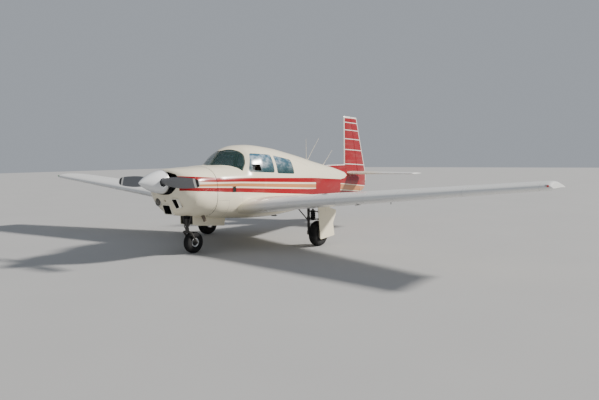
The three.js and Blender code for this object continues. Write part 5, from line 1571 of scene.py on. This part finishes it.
def build_main_leg(name, side):
    def here(x, station, z):
        return at(side * x, station, z)

    link = curve([here(LEG_X, LEG_STATION, 0.235), here(LEG_X + 0.002, 2.675, 0.238),
                  here(LEG_X + 0.002, 2.72, 0.231), here(LEG_X, 2.765, MAIN_RADIUS)], 5)
    leg = [
        stepped("strut", here(LEG_X, LEG_STATION, 0.748), here(LEG_X, LEG_STATION, 0.205),
                [(0, 0.024), (0.05, 0.03), (0.11, 0.03), (0.13, 0.0235), (0.4, 0.0225), (0.42, 0.029),
                 (0.5, 0.029), (0.52, 0.0225), (0.86, 0.0215), (0.88, 0.028), (0.99, 0.028), (1, 0.024)],
                28),
        stepped("trunnion", here(LEG_X, 2.5605, 0.735), here(LEG_X, 2.8995, 0.735),
                [(0, 0.014), (0.04, 0.018), (0.2, 0.018), (0.22, 0.024), (0.36, 0.024), (0.38, 0.018),
                 (0.96, 0.018), (1, 0.014)], 24),
        tube("link", link, [0.021] * 5 + [0.019] * 6 + [0.021] * 4 + [0.024], 20),
        stepped("axle", here(LEG_X - 0.024, MAIN_AXLE, MAIN_RADIUS),
                here(MAIN_X + 0.052, MAIN_AXLE, MAIN_RADIUS),
                [(0, 0.018), (0.2, 0.02), (0.21, 0.015), (0.93, 0.015), (0.94, 0.02), (0.985, 0.019),
                 (1, 0.014)], 24),
        stepped("retract_rod", here(LEG_X, LEG_STATION + 0.01, 0.44), here(0.96, LEG_STATION + 0.014, 0.715),
                [(0, 0.016), (0.08, 0.016), (0.1, 0.0105), (0.88, 0.0105), (0.9, 0.015), (1, 0.015)], 18),
    ]
    for height in (0.49, 0.622):
        leg.append(stepped("door_link", here(LEG_X, LEG_STATION, height),
                           here(GEAR_DOOR_X - 0.0005, LEG_STATION + 0.006, height),
                           [(0, 0.012), (0.3, 0.009), (0.8, 0.009), (0.83, 0.016), (1, 0.017)], 18))
    plates = [(0.004, 0)]
    for k in range(5):
        base = 0.032 * k
        plates += [(0.047, base), (0.047, base + 0.004), (0.043, base + 0.005), (0.045, base + 0.014),
                   (0.043, base + 0.023), (0.03, base + 0.026), (0.03, base + 0.031)]
    plates += [(0.047, 0.16), (0.047, 0.165), (0.004, 0.165)]
    fit(turned(f"{name}_shock_discs", plates, here(1.352, 2.628, 0.474), (0, 0, 1), 36), RUBBER)
    guide = stepped("disc_guide", here(1.352, 2.628, 0.462), here(1.352, 2.628, 0.668),
                    [(0, 0.012), (0.04, 0.02), (0.055, 0.02), (0.06, 0.013), (0.9, 0.013), (0.92, 0.02),
                     (0.97, 0.02), (1, 0.012)], 20)
    leg.append(guide)
    leg.append(tube("brake_pipe", curve([here(LEG_X + 0.012, LEG_STATION + 0.025, 0.7),
            here(LEG_X + 0.004, LEG_STATION + 0.031, 0.55), here(LEG_X - 0.004, LEG_STATION + 0.031, 0.36),
            here(LEG_X + 0.01, LEG_STATION + 0.055, 0.29), here(LEG_X + 0.036, MAIN_AXLE - 0.01, 0.292)],
            6), 0.0035, 8))
    fit(merge(f"{name}_main_strut", *leg), GEAR_STEEL, "airframe", [f"{name}_main_leg"])
    fit(turned(f"{name}_brake_disc", [(0.03, 0), (0.079, 0), (0.08, 0.001), (0.08, 0.005), (0.079, 0.006),
            (0.03, 0.006), (0.03, 0)], here(1.3035 if side > 0 else 1.3095, MAIN_AXLE, MAIN_RADIUS),
               (1, 0, 0), 48), CHROME, f"{name}_wheel", slot="gear_steel")
    outline = rounded([(MAIN_AXLE - 0.045, 0.268), (MAIN_AXLE + 0.045, 0.268), (MAIN_AXLE + 0.052, 0.312),
                       (MAIN_AXLE - 0.052, 0.312)], 0.012, 4)
    fit(plate(f"{name}_caliper", outline, side * 1.278, 0.022, 0.003), ALLOY)


def build_gear_door(name, side):
    """Stiffening bead and rib on the inner face of the CAD's door plate."""
    outline = rounded([(2.6, 0.7), (2.66, 0.18), (3.06, 0.195), (3.018, 0.385), (3.108, 0.56), (2.92, 0.64),
                       (2.915, 0.7)], 0.03, 5)
    path = [at(side * (GEAR_DOOR_X - 0.002), s, z) for s, z in outline]
    fit(tube(f"{name}_door_bead", path, 0.0045, 8, True), CREAM_PAINT, slot="white_paint")
    inner = [at(side * (GEAR_DOOR_X - 0.002), s, z) for s, z in ((2.7, 0.6), (2.9, 0.58), (3.02, 0.53))]
    fit(tube(f"{name}_door_rib", curve(inner, 5), 0.006, 10), CREAM_PAINT, slot="white_paint")


FORK = {"top": 0.432, "bottom": 0.346, "x": 0.084, "bridge": 0.366}
NOSE_LEG = 0.932


def build_nose_gear():
    def leg_at(z):
        return at(0, NOSE_LEG, z)

    truss = [stepped("nose_strut", leg_at(0.7), leg_at(FORK["top"] + 0.0004),
                     [(0, 0.022), (0.05, 0.03), (0.16, 0.03), (0.18, 0.0265), (0.55, 0.0265), (0.57, 0.033),
                      (0.68, 0.033), (0.7, 0.0265), (0.95, 0.0265), (1, 0.03)], 32),
             stepped("pivot", leg_at(0.48), leg_at(0.36), [(0, 0.015), (1, 0.015)], 20)]
    for half, z, wall_z, radius in ((0.118, 0.668, 0.72, 0.016), (0.09, 0.56, 0.64, 0.014)):
        corners = [at(side * half, NOSE_LEG + 0.01, z) for side in (-1, 1)]
        truss.append(stepped("cross_tube", *corners, [(0, 0.01), (0.03, radius + 0.003),
                (0.08, radius + 0.003), (0.1, radius), (0.9, radius), (0.92, radius + 0.003),
                (0.97, radius + 0.003), (1, 0.01)], 20))
        for corner, side in zip(corners, (-1, 1)):
            truss.append(stepped("brace", corner, at(side * half, FIREWALL - 0.0005, wall_z),
                                 [(0, 0.016), (0.1, 0.013), (0.9, 0.013), (0.93, 0.022), (1, 0.022)], 18))
    for side in (-1, 1):
        path = curve([at(side * 0.11, NOSE_LEG + 0.01, 0.664), at(side * 0.074, NOSE_LEG + 0.006, 0.565),
                      at(side * 0.034, NOSE_LEG, 0.466)], 5)
        truss.append(tube("diagonal", path, 0.0165, 16))
        truss.append(tube("steering_rod", [at(side * 0.04, NOSE_LEG - 0.03, 0.498),
                at(side * 0.075, 1.02, 0.585), at(side * 0.08, FIREWALL - 0.001, 0.655)], 0.006, 12))
    fit(merge("nose_truss", *truss), GEAR_STEEL, "airframe", ["nose_leg"])

    discs = [(0.0275, 0)]
    for k in range(4):
        base = 0.016 * k
        discs += [(0.046, base), (0.048, base + 0.007), (0.046, base + 0.013), (0.034, base + 0.0145)]
    discs += [(0.0275, 0.063), (0.0275, 0)]
    fit(turned("nose_shock_discs", discs, leg_at(0.585), (0, 0, 1), 36), RUBBER)

    bridge = [at(x, NOSE_LEG, FORK["bridge"]) for x in (-FORK["x"], FORK["x"])]
    axle = [at(x, NOSE_AXLE, NOSE_RADIUS_WHEEL) for x in (-FORK["x"] - 0.016, FORK["x"] + 0.016)]
    fork = [stepped("collar", leg_at(FORK["bottom"]), leg_at(FORK["top"] - 0.0004),
                    [(0, 0.026), (0.08, 0.036), (0.4, 0.036), (0.45, 0.033), (0.9, 0.033), (1, 0.028)], 32),
            stepped("bridge", *bridge, [(0, 0.012), (0.04, 0.019), (0.14, 0.019), (0.2, 0.017),
            (0.8, 0.017), (0.86, 0.019), (0.96, 0.019), (1, 0.012)], 20),
            stepped("axle", *axle, [(0, 0.01), (0.03, 0.018), (0.06, 0.018), (0.07, 0.013), (0.93, 0.013),
            (0.94, 0.018), (0.97, 0.018), (1, 0.01)], 20)]
    for side in (-1, 1):
        path = curve([at(side * FORK["x"], NOSE_LEG, FORK["bridge"]), at(side * FORK["x"], 0.965, 0.315),
                      at(side * FORK["x"], 1.02, 0.24), at(side * FORK["x"], NOSE_AXLE, NOSE_RADIUS_WHEEL)],
                     6)
        fork.append(tube("fork_leg", path, [0.018] * 3 + [0.016] * (len(path) - 6) + [0.018] * 3, 18))
    fork.append(tube("torque_link", curve([at(0, NOSE_LEG - 0.032, 0.42), at(0, 0.872, 0.455),
            at(0, 0.868, 0.48), at(0, NOSE_LEG - 0.036, 0.43)], 4), 0.006, 10))
    fit(merge("nose_fork_forging", *fork), GEAR_STEEL, "nose_steering", ["nose_fork"])


# Exhaust, step, antennas
WHIP_RADII = [0.007, 0.0066, 0.0046, 0.0042, 0.0034, 0.0026, 0.0015]


def build_outside_fittings():
    top, tip = at(0.23, 0.975, 0.83), at(0.262, 1.085, 0.545)
    way = (tip - top).normalized()
    start = top + way * 0.012
    length = (tip - start).length
    fit(turned("exhaust_tail_pipe", [(0.0265, 0), (0.0265, 0.262), (0.0268, length), (0.0235, length),
            (0.0235, 0.02), (0.0235, 0.001), (0.0265, 0)], start, way, 40), DARK_STEEL, "airframe",
        ["exhaust_pipe"])
    masts = {}
    for name, base_s, base_z, whips in (("front", (4.36, 4.45), (1.47, 1.5115),
            (((4.425, 1.505), (4.893, 2.0)), ((4.385, 1.505), (4.385, 1.96)))),
            ("rear", (5.03, 5.086), (1.38, 1.4145), (((5.07, 1.405), (5.437, 1.724)),))):
        middle = (base_s[0] + base_s[1]) / 2
        half = (base_s[1] - base_s[0]) / 2
        rings = []
        for share in (0, 0.35, 0.7, 0.92, 1):
            trim = share**3 * 0.012
            z = mix(base_z[0] - 0.06, base_z[1], share)
            rings.append([at(cos(a) * (0.015 - trim * 0.6), middle + sin(a) * (half - trim), z)
                          for a in circle(28)])
        fit(loft(f"{name}_antenna_foot", rings), WHITE_PAINT)
        masts[name] = []
        for low, high in whips:
            start, end = at(0, *low), at(0, *high)
            points = [start.lerp(end, t) for t in (0, 0.04, 0.05, 0.3, 0.7, 0.985, 1)]
            masts[name].append(tube("whip", points, WHIP_RADII, 10))
    for name, rods in masts.items():
        fit(merge(f"{name}_antenna_whips", *rods), WHITE_PAINT, "airframe", [f"{name}_antenna"])
    tread = plate("step_tread", rounded([(3.79, 0.32), (3.87, 0.32), (3.87, 0.334), (3.79, 0.334)], 0.005,
            3), -0.412, 0.107, 0.003)
    bar = tube("step_bar", curve([at(-0.372, 3.784, 0.58), at(-0.405, 3.806, 0.465),
            at(-0.44, 3.83, 0.334)], 6), 0.0135, 20)
    fit(merge("step_assembly", tread, bar), GEAR_STEEL, "airframe", ["boarding_step"])
    pitot = stepped("pitot_tube", at(2.62, 1.9, 0.842), at(2.62, 2.06, 0.842),
                    [(0, 0.004), (0.03, 0.009), (0.9, 0.011), (1, 0.008)], 20)
    strut = tube("pitot_mast", [at(2.62, 2.03, 0.842), at(2.62, 2.06, 0.87), at(2.62, 2.09, 0.905)],
                 [0.008, 0.01, 0.013], 14)
    fit(merge("pitot_head", pitot, strut), ALLOY)
    lamp_spot = at(0, 7.02, 0.942)
    fit(turned("tail_light", [(0.002, 0.034), (0.01, 0.032), (0.017, 0.024), (0.02, 0.01), (0.02, 0),
            (0.002, 0)], lamp_spot, (0, 1, 0), 28), CLEAR_LENS, "rudder")


# Cabin interior
BASE_OUTLINE = [(2.055, 0.8), (2.062, 0.872), (2.11, 0.897), (2.44, 0.876), (2.48, 0.85), (2.48, 0.79)]
BACK_OUTLINE = [(2.522, 0.905), (2.6, 1.395), (2.628, 1.425), (2.66, 1.41), (2.668, 1.37), (2.59, 0.89)]
BENCH_BASE = [(2.915, 0.782), (2.922, 0.836), (2.965, 0.868), (3.31, 0.852), (3.352, 0.83), (3.352, 0.775)]
BENCH_BACK = [(3.392, 0.892), (3.452, 1.345), (3.47, 1.372), (3.492, 1.365), (3.492, 1.32), (3.47, 0.88)]
CUSHION_CAP = 0.013
VOXEL = 0.006
PRESSURE = 4
CLOTH_FRAMES = 20


def swell(piece):
    """Cloth with air in it: the cover rounds out, by no more than the cap."""
    step = piece.modifiers.new("even", "REMESH")
    step.mode = "VOXEL"
    step.voxel_size = VOXEL
    settle(piece)
    scene = bpy.context.scene
    count = len(piece.data.vertices)
    before = np.empty(count * 3)
    piece.data.vertices.foreach_get("co", before)
    step = piece.modifiers.new("cloth", "CLOTH")
    step.settings.quality = 5
    step.settings.use_pressure = True
    step.settings.uniform_pressure_force = PRESSURE
    step.settings.effector_weights.gravity = 0
    step.point_cache.frame_start = 1
    step.point_cache.frame_end = CLOTH_FRAMES
    for number in range(1, CLOTH_FRAMES + 1):
        scene.frame_set(number)
    settle(piece)
    scene.frame_set(1)
    after = np.empty(count * 3)
    piece.data.vertices.foreach_get("co", after)
    move = (after - before).reshape(-1, 3)
    move -= move.mean(axis=0)
    length = np.linalg.norm(move, axis=1)
    move *= np.minimum(1, CUSHION_CAP / np.maximum(length, 1e-9))[:, None]
    piece.data.vertices.foreach_set("co", (before + move.reshape(-1)))
    piece.data.update()


def sew(piece, lines, width=0.005, depth=0.006):
    """Presses straight channels into the cushion's face. Each line is the x of a channel."""
    mesh = piece.data
    count = len(mesh.vertices)
    places, ways = np.empty(count * 3), np.empty(count * 3)
    mesh.vertices.foreach_get("co", places)
    mesh.vertex_normals.foreach_get("vector", ways)
    places, ways = places.reshape(-1, 3), ways.reshape(-1, 3)
    for x in lines:
        near = np.exp(-((places[:, 0] - x) / width) ** 2)
        facing = np.clip(np.abs(ways[:, 1]) + np.maximum(ways[:, 2], 0) - 0.4, 0, 1)
        places = places - ways * (near * facing * depth)[:, None]
    mesh.vertices.foreach_set("co", places.reshape(-1))
    mesh.update()


def cushion(name, outline, low, high, lines, finer=True):
    rings = []
    for x, trim in ((low, 0.02), (low + 0.006, 0.01), (low + 0.02, 0), (high - 0.02, 0),
                    (high - 0.006, 0.01), (high, 0.02)):
        rings.append([at(x, s, z) for s, z in inset(rounded(outline, 0.03), trim or 1e-6)])
    pad = loft(name, rings)
    swell(pad)
    if finer:
        step = pad.modifiers.new("finer", "SUBSURF")
        step.levels = step.render_levels = 1
        settle(pad)
    sew(pad, lines)
    fit(pad, SEAT_WEAVE, angle=80)
    return pad


def mirrored(name, piece):
    mesh = piece.data.copy()
    for vertex in mesh.vertices:
        vertex.co.x = -vertex.co.x
    mesh.flip_normals()
    return new_object(name, mesh)


def piping(name, pad, outline, x):
    """The cord along a cushion's edge, laid on the swollen cover."""
    tree = BVHTree.FromObject(pad, bpy.context.evaluated_depsgraph_get())
    path = []
    for s, z in inset(rounded(outline, 0.03, 5), 0.004):
        spot, way, _, _ = tree.find_nearest(at(x, s, z))
        path.append(spot + way * 0.0012)
    return tube(name, path, 0.0035, 8, True)


def build_seat_frame(name, side):
    parts = []
    for x in (0.095, 0.425):
        parts.append(tube("rail", [at(side * x, s, 0.671) for s in (1.98, 2.0, 2.66, 2.68)],
                          [0.006, 0.0085, 0.0085, 0.006], 12))
        for s in (2.16, 2.46):
            parts.append(tube("leg", curve([at(side * x, s, 0.676), at(side * x, s + 0.006, 0.72),
                    at(side * x, s + 0.012, 0.779)], 4), 0.01, 14))
    for s in (2.172, 2.472):
        parts.append(tube("cross", [at(side * x, s, 0.77) for x in (0.07, 0.09, 0.43, 0.45)],
                          [0.007, 0.01, 0.01, 0.007], 14))
    hoop = [at(side * x, s, z) for x, s, z in ((0.08, 2.515, 0.8), (0.078, 2.59, 0.95),
            (0.078, 2.655, 1.33), (0.12, 2.676, 1.4), (0.26, 2.68, 1.415), (0.4, 2.676, 1.4),
            (0.442, 2.655, 1.33), (0.442, 2.59, 0.95), (0.44, 2.515, 0.8))]
    parts.append(tube("hoop", curve(hoop, 5), 0.01, 14))
    pan = plate("pan", rounded([(2.07, 0.7815), (2.47, 0.7765), (2.49, 0.792), (2.062, 0.795)], 0.006, 3),
                side * 0.062, 0.396, 0.004)
    parts.append(pan)
    return merge(f"{name}_seat_frame", *parts)


def build_seats():
    base_lines = [0.125, 0.192, 0.26, 0.328, 0.395]
    base = cushion("left_front_seat_base", BASE_OUTLINE, 0.052, 0.468, base_lines)
    back = cushion("left_front_seat_back", BACK_OUTLINE, 0.056, 0.464, base_lines)
    bench = cushion("left_bench_base", BENCH_BASE, 0.012, 0.436, [0.09, 0.165, 0.24, 0.315], finer=False)
    rest = cushion("left_bench_back", BENCH_BACK, 0.012, 0.43, [0.09, 0.165, 0.24, 0.315], finer=False)
    groups = (("front_seat", ((base, BASE_OUTLINE, (0.06, 0.46)), (back, BACK_OUTLINE, (0.064, 0.456)))),
              ("bench", ((bench, BENCH_BASE, (0.02, 0.428)), (rest, BENCH_BACK, (0.02, 0.422)))))
    for group, pads in groups:
        cords = [piping("cord", pad, outline, x) for pad, outline, ends in pads for x in ends]
        left = merge(f"left_{group}_piping", *cords)
        right = mirrored(f"right_{group}_piping", left)
        for piece in (left, right):
            fit(piece, SEAT_PIPING)
    for pad in (base, back, bench, rest):
        other = fit(mirrored(pad.name.replace("left", "right"), pad), SEAT_WEAVE, angle=80)
        if pad is base:
            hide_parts("right_front_seat")
    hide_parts("left_front_seat")
    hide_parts("rear_bench")
    for name, side in SIDES:
        fit(build_seat_frame(name, side), GEAR_STEEL)
    outline = rounded([(2.945, 0.6655), (2.985, 0.6655), (2.985, 0.745), (3.4, 0.748), (3.44, 0.77),
                       (2.93, 0.772)], 0.01, 3)
    rings = [[at(x, s, z) for s, z in inset(outline, trim)]
             for x, trim in ((-0.425, 0.004), (-0.421, 0.0005), (0.421, 0.0005), (0.425, 0.004))]
    fit(loft("bench_plinth", rings), CARPET)


PANEL_FACE = 1.53
LINING = 0.0022


def gauge(x, z, radius):
    """A round dial: bezel, face, marks and needle."""
    middle = at(x, PANEL_FACE, z)
    bezel = turned("bezel", [(radius - 0.004, -0.001), (radius - 0.004, 0.004), (radius - 0.002, 0.007),
            (radius + 0.003, 0.007), (radius + 0.005, 0.003), (radius + 0.005, -0.001),
            (radius - 0.004, -0.001)], middle, (0, 1, 0), 36)
    face = turned("face", [(0.001, 0.0022), (radius - 0.0045, 0.0022), (radius - 0.0045, 0), (0.001, 0)],
                  middle, (0, 1, 0), 36)
    marks = []
    for k in range(10):
        a = 2 * pi * k / 10
        way = Vector((sin(a), 0, cos(a)))
        lift = Vector((0, 0.0024, 0))
        marks.append(tube("mark", [middle + way * radius * 0.68 + lift,
                middle + way * radius * 0.83 + lift], 0.0008, 4))
    a = x * 37 + z * 11
    marks.append(tube("needle", [middle + Vector((0, 0.0034, 0)),
            middle + Vector((sin(a) * radius * 0.7, 0.0034, cos(a) * radius * 0.7))], [0.0018, 0.0006], 6))
    return bezel, face, marks


def inner_slab(name, depth, station, z):
    """A slab that fills the cabin from side to side."""
    slab = fuselage_solid(name, station[0] - 0.05, station[1] + 0.05, depth, 0.02)
    return carve(slab, box("slab", (-0.6, 0.6), station, z), operation="INTERSECT")


def build_panel():
    fit(inner_slab("panel_face", SKIN + 0.003, (1.5005, PANEL_FACE), (0.862, 1.371)), PANEL_BLACK,
        "airframe", ["instrument_panel"])
    fit(inner_slab("glareshield", SKIN + 0.003, (1.162, 1.562), (1.3725, 1.3915)), PANEL_BLACK)
    fit(tube("glareshield_edge", [at(x, 1.563, 1.382) for x in np.linspace(-0.33, 0.33, 24)], 0.0105, 14),
        SEAT_PIPING, slot="cabin_trim")
    spots = [(x, z, 0.037) for z in (1.3, 1.205) for x in (0.15, 0.25, 0.35)]
    spots += [(x, z, 0.026) for z in (1.315, 1.245) for x in (-0.2, -0.27, -0.34)]
    spots += [(x, 1.02, 0.022) for x in (-0.34, -0.27, 0.34)]
    bezels, faces, marks = [], [], []
    for x, z, radius in spots:
        bezel, dial, lines = gauge(x, z, radius)
        bezels.append(bezel)
        faces.append(dial)
        marks += lines
    fit(merge("dial_bezels", *bezels), BLACK)
    fit(merge("dial_faces", *faces), DIAL_FACE)
    fit(merge("dial_marks", *marks), DIAL_MARK)
    boxes, knobs = [], []
    for k, height in enumerate((1.325, 1.278, 1.222, 1.175, 1.128)):
        tall = 0.02 if k != 2 else 0.026
        outline = rounded([(-0.095, height - tall), (0.085, height - tall), (0.085, height + tall),
                           (-0.095, height + tall)], 0.004, 3)
        rings = [[(x, NOSE_Y + PANEL_FACE + d, z) for x, z in inset(outline, trim)]
                 for d, trim in ((0.0005, 0.0002), (0.007, 0.0002), (0.009, 0.0025))]
        boxes.append(loft("set", rings))
        for x in (-0.078, 0.068):
            knobs.append(turned("knob", [(0.001, 0.019), (0.0065, 0.018), (0.0075, 0.009), (0.0095, 0.0092),
                    (0.0095, 0.008), (0.001, 0.008)], at(x, PANEL_FACE, height), (0, 1, 0), 20))
    for x in (-0.045, 0.005, 0.055):
        knobs.append(stepped("lever", at(x, PANEL_FACE + 0.0005, 1.04), at(x, PANEL_FACE + 0.055, 1.04),
                             [(0, 0.004), (0.65, 0.004), (0.68, 0.012), (0.92, 0.013), (1, 0.009)], 20))
    fit(merge("radio_stack", *boxes), BLACK)
    fit(merge("panel_knobs", *knobs), PANEL_BLACK)
    for name, side in SIDES:
        middle = side * 0.25
        parts = [stepped("column", at(middle, 1.531, 1.1105), at(middle, 1.735, 1.12),
                         [(0, 0.02), (0.03, 0.02), (0.04, 0.01), (0.9, 0.01), (0.91, 0.018), (1, 0.018)],
                         20)]
        shape = [(-0.122, 1.747, 1.205), (-0.12, 1.745, 1.16), (-0.11, 1.741, 1.122), (-0.07, 1.739, 1.106),
                 (0, 1.738, 1.112), (0.07, 1.739, 1.106), (0.11, 1.741, 1.122), (0.12, 1.745, 1.16),
                 (0.122, 1.747, 1.205)]
        path = curve([at(middle + dx, s, z) for dx, s, z in shape], 5)
        ends = len(path) - 1
        sizes = [0.0085 if i in (0, ends) else 0.0135 if min(i, ends - i) < 11 else 0.0105
                 for i in range(ends + 1)]
        parts.append(tube("wheel", path, sizes, 16))
        fit(merge(f"{name}_yoke", *parts), BLACK)
        pedals = []
        for dx in (-0.085, 0.085):
            x = middle + dx
            arm = curve([at(x, 1.3, 0.672), at(x, 1.325, 0.75), at(x, 1.345, 0.82)], 4)
            pedals.append(tube("pedal_arm", arm, 0.007, 10))
            outline = rounded([(1.338, 0.765), (1.348, 0.763), (1.362, 0.858), (1.352, 0.86)], 0.003, 2)
            pedals.append(plate("pedal_pad", outline, x - 0.03 if x > 0 else x + 0.03, 0.06, 0.002))
        fit(merge(f"{name}_pedals", *pedals), GEAR_STEEL)


def build_liner():
    liner = fuselage_wall("cabin_liner", FIREWALL + 0.035, CABIN_REAR - 0.03, LINING, SKIN + 0.0004)
    carve(liner, *window_cuts(-0.006, "windscreen", "left_front", "left_rear", "right_rear"),
          doorway(-0.004), hatchway(-0.004))
    carve(liner, box("cabin_height", (-0.7, 0.7), (1.0, 4.0), (FLOOR_TOP + 0.012, 1.8)),
          operation="INTERSECT")
    fit(liner, LINER)
    door = skin_patch("door_liner", 1.8, 2.8, LINING, SKIN + 0.0004, doorway(0.016))
    carve(door, *window_cuts(-0.006, "cabin_door"))
    fit(door, LINER, "cabin_door")
    fit(skin_patch("baggage_door_liner", 3.3, 3.88, LINING, SKIN + 0.0004, hatchway(0.014)), LINER,
        "baggage_door")
    fit(inner_slab("carpet_sheet", SKIN + 0.004, (1.66, CABIN_REAR - 0.035),
                   (FLOOR_TOP + 0.0004, FLOOR_TOP + 0.0035)), CARPET)
    fit(tube("door_pull", curve([at(-0.452, 2.12, 1.13), at(-0.425, 2.13, 1.132), at(-0.42, 2.2, 1.135),
            at(-0.425, 2.27, 1.138), at(-0.452, 2.28, 1.14)], 5), 0.006, 10), BLACK, "cabin_door")


VENT = [(1.466, 1.003), (1.541, 1.003), (1.541, 1.098), (1.466, 1.098)]


def build_vent():
    """An air vent in the left side: a near-black patch, painted shade in its opening, with a lip."""
    outline = rounded(VENT, 0.006, 3)
    fit(skin_patch("side_vent", 1.42, 1.58, 0.003, -0.001, side_prism("vent_cut", outline, 0.2, WIDE)),
        OPENING_SHADE)
    lip = skin_patch("vent_lip", 1.42, 1.58, 0.005, -0.0035,
                     side_prism("lip_cut", inset(outline, -0.005), 0.2, WIDE))
    carve(lip, side_prism("vent_cut", outline, 0.2, WIDE))
    fit(lip, CREAM_PAINT)
    # Thin dark sheets on the inner faces of the nose gear doors: painted shade
    for name, side in SIDES:
        outline = [(0.935, 0.632), (1.095, 0.612), (1.66, 0.54), (1.64, 0.412), (1.015, 0.48), (0.935, 0.5)]
        fit(plate(f"{name}_nose_door_lining", rounded(outline, 0.02, 3), side * 0.142, 0.0016, 0.0005),
            DOOR_SHADE)


def dress_frame():
    """Finishes for the CAD nodes that stay in view."""
    # The firewall is near-black, so that the seam between cowl and cabin reads as a dark gap: painted shade
    finishes = {"firewall": TRIM, "engine_block": ENGINE_GREY, "propeller_shaft": ALLOY,
                "cabin_floor": TRIM, "left_gear_door": CREAM_PAINT, "right_gear_door": CREAM_PAINT,
                "left_nose_gear_door": CREAM_PAINT, "right_nose_gear_door": CREAM_PAINT}
    for node, finish in finishes.items():
        for slot in frame["nodes"][node].material_slots:
            slot.material = finish


# Camera, lights and floor
PHOTO_SIZE = (599, 400)
FOCAL_PIXELS = 525.7
SENSOR = 36.0
CAMERA_PLACE = (6.506, NOSE_Y - 4.979, 1.5725)
CAMERA_YAW = radians(35.196)
CAMERA_PITCH = radians(-4.64)
CAMERA_ROLL = radians(-0.628)
CENTRE_SHIFT = (3.44, -0.25)


def build_camera():
    camera = new_object("camera", bpy.data.cameras.new("camera"))
    camera.data.sensor_width = SENSOR
    camera.data.lens = FOCAL_PIXELS / PHOTO_SIZE[0] * SENSOR
    camera.data.shift_x = -CENTRE_SHIFT[0] / PHOTO_SIZE[0]
    camera.data.shift_y = CENTRE_SHIFT[1] / PHOTO_SIZE[0]
    ahead = Vector((-sin(CAMERA_YAW) * cos(CAMERA_PITCH), cos(CAMERA_YAW) * cos(CAMERA_PITCH),
                    sin(CAMERA_PITCH)))
    level = Vector((cos(CAMERA_YAW), sin(CAMERA_YAW), 0))
    upright = level.cross(ahead)
    right = level * cos(CAMERA_ROLL) + upright * sin(CAMERA_ROLL)
    up = upright * cos(CAMERA_ROLL) - level * sin(CAMERA_ROLL)
    turn = Matrix((right, up, -ahead)).transposed()
    camera.matrix_world = Matrix.Translation(CAMERA_PLACE) @ turn.to_4x4()
    camera.data.clip_end = 200
    bpy.context.scene.camera = camera


TOWARDS_SUN = (0.618, 0.584, 0.526)
SUN_STRENGTH = 6.2
SUN_SPREAD = radians(5)
SUN_COLOUR = (1.0, 0.96, 0.9)
SKY_COLOUR = (0.8, 0.86, 0.95, 1)
SKY_STRENGTH = 0.46
FLOOR_HALF = 60
FLOOR_TONES = ((0.4, 0.4, 0.4, 1), (0.44, 0.44, 0.435, 1))


def build_light():
    world = bpy.data.worlds.new("studio")
    bpy.context.scene.world = world
    world.use_nodes = True
    background = world.node_tree.nodes["Background"]
    background.inputs["Color"].default_value = SKY_COLOUR
    background.inputs["Strength"].default_value = SKY_STRENGTH
    sun = new_object("key_light", bpy.data.lights.new("key_light", "SUN"))
    sun.data.energy = SUN_STRENGTH
    sun.data.angle = SUN_SPREAD
    sun.data.color = SUN_COLOUR
    sun.rotation_euler = Vector(TOWARDS_SUN).to_track_quat("Z", "Y").to_euler()


def build_floor():
    corners = [(x * FLOOR_HALF, y * FLOOR_HALF, 0) for x, y in ((-1, -1), (1, -1), (1, 1), (-1, 1))]
    floor = mesh_object("floor", corners, [(0, 1, 2, 3)])
    finish = Finish("floor", Roughness=0.9)
    tone = finish.noise(0.6, 2).blend(*FLOOR_TONES)
    floor.data.materials.append(finish.put(Base_Color=tone).material)


build_camera()
build_light()
build_floor()
build_cabin()
build_glass()
build_cowling()
body = fuselage_solid("body_space", COWL_FRONT, TAIL_END, 0.004, 0.05)
for side_name, side_sign in SIDES:
    build_wing(side_name, side_sign, body)
build_tail(body)
bpy.data.objects.remove(body)
build_spinner()
build_propeller()
build_nose_fittings()
build_screws()
build_nose_gear()
wheel_at = at(0, NOSE_AXLE, NOSE_RADIUS_WHEEL)
build_wheel("nose", wheel_at, NOSE_RADIUS_WHEEL, NOSE_HALF, NOSE_RIM, "nose_wheel",
            rim_paint(wheel_at, 0.055))
for side_name, side_sign in SIDES:
    wheel_at = at(side_sign * MAIN_X, MAIN_AXLE, MAIN_RADIUS)
    build_wheel(f"{side_name}_main", wheel_at, MAIN_RADIUS, MAIN_HALF, MAIN_RIM, f"{side_name}_wheel",
                ALLOY)
    build_wing_fittings(side_name, side_sign)
    build_main_leg(side_name, side_sign)
    build_gear_door(side_name, side_sign)
build_outside_fittings()
build_vent()
build_liner()
build_panel()
build_seats()
dress_frame()
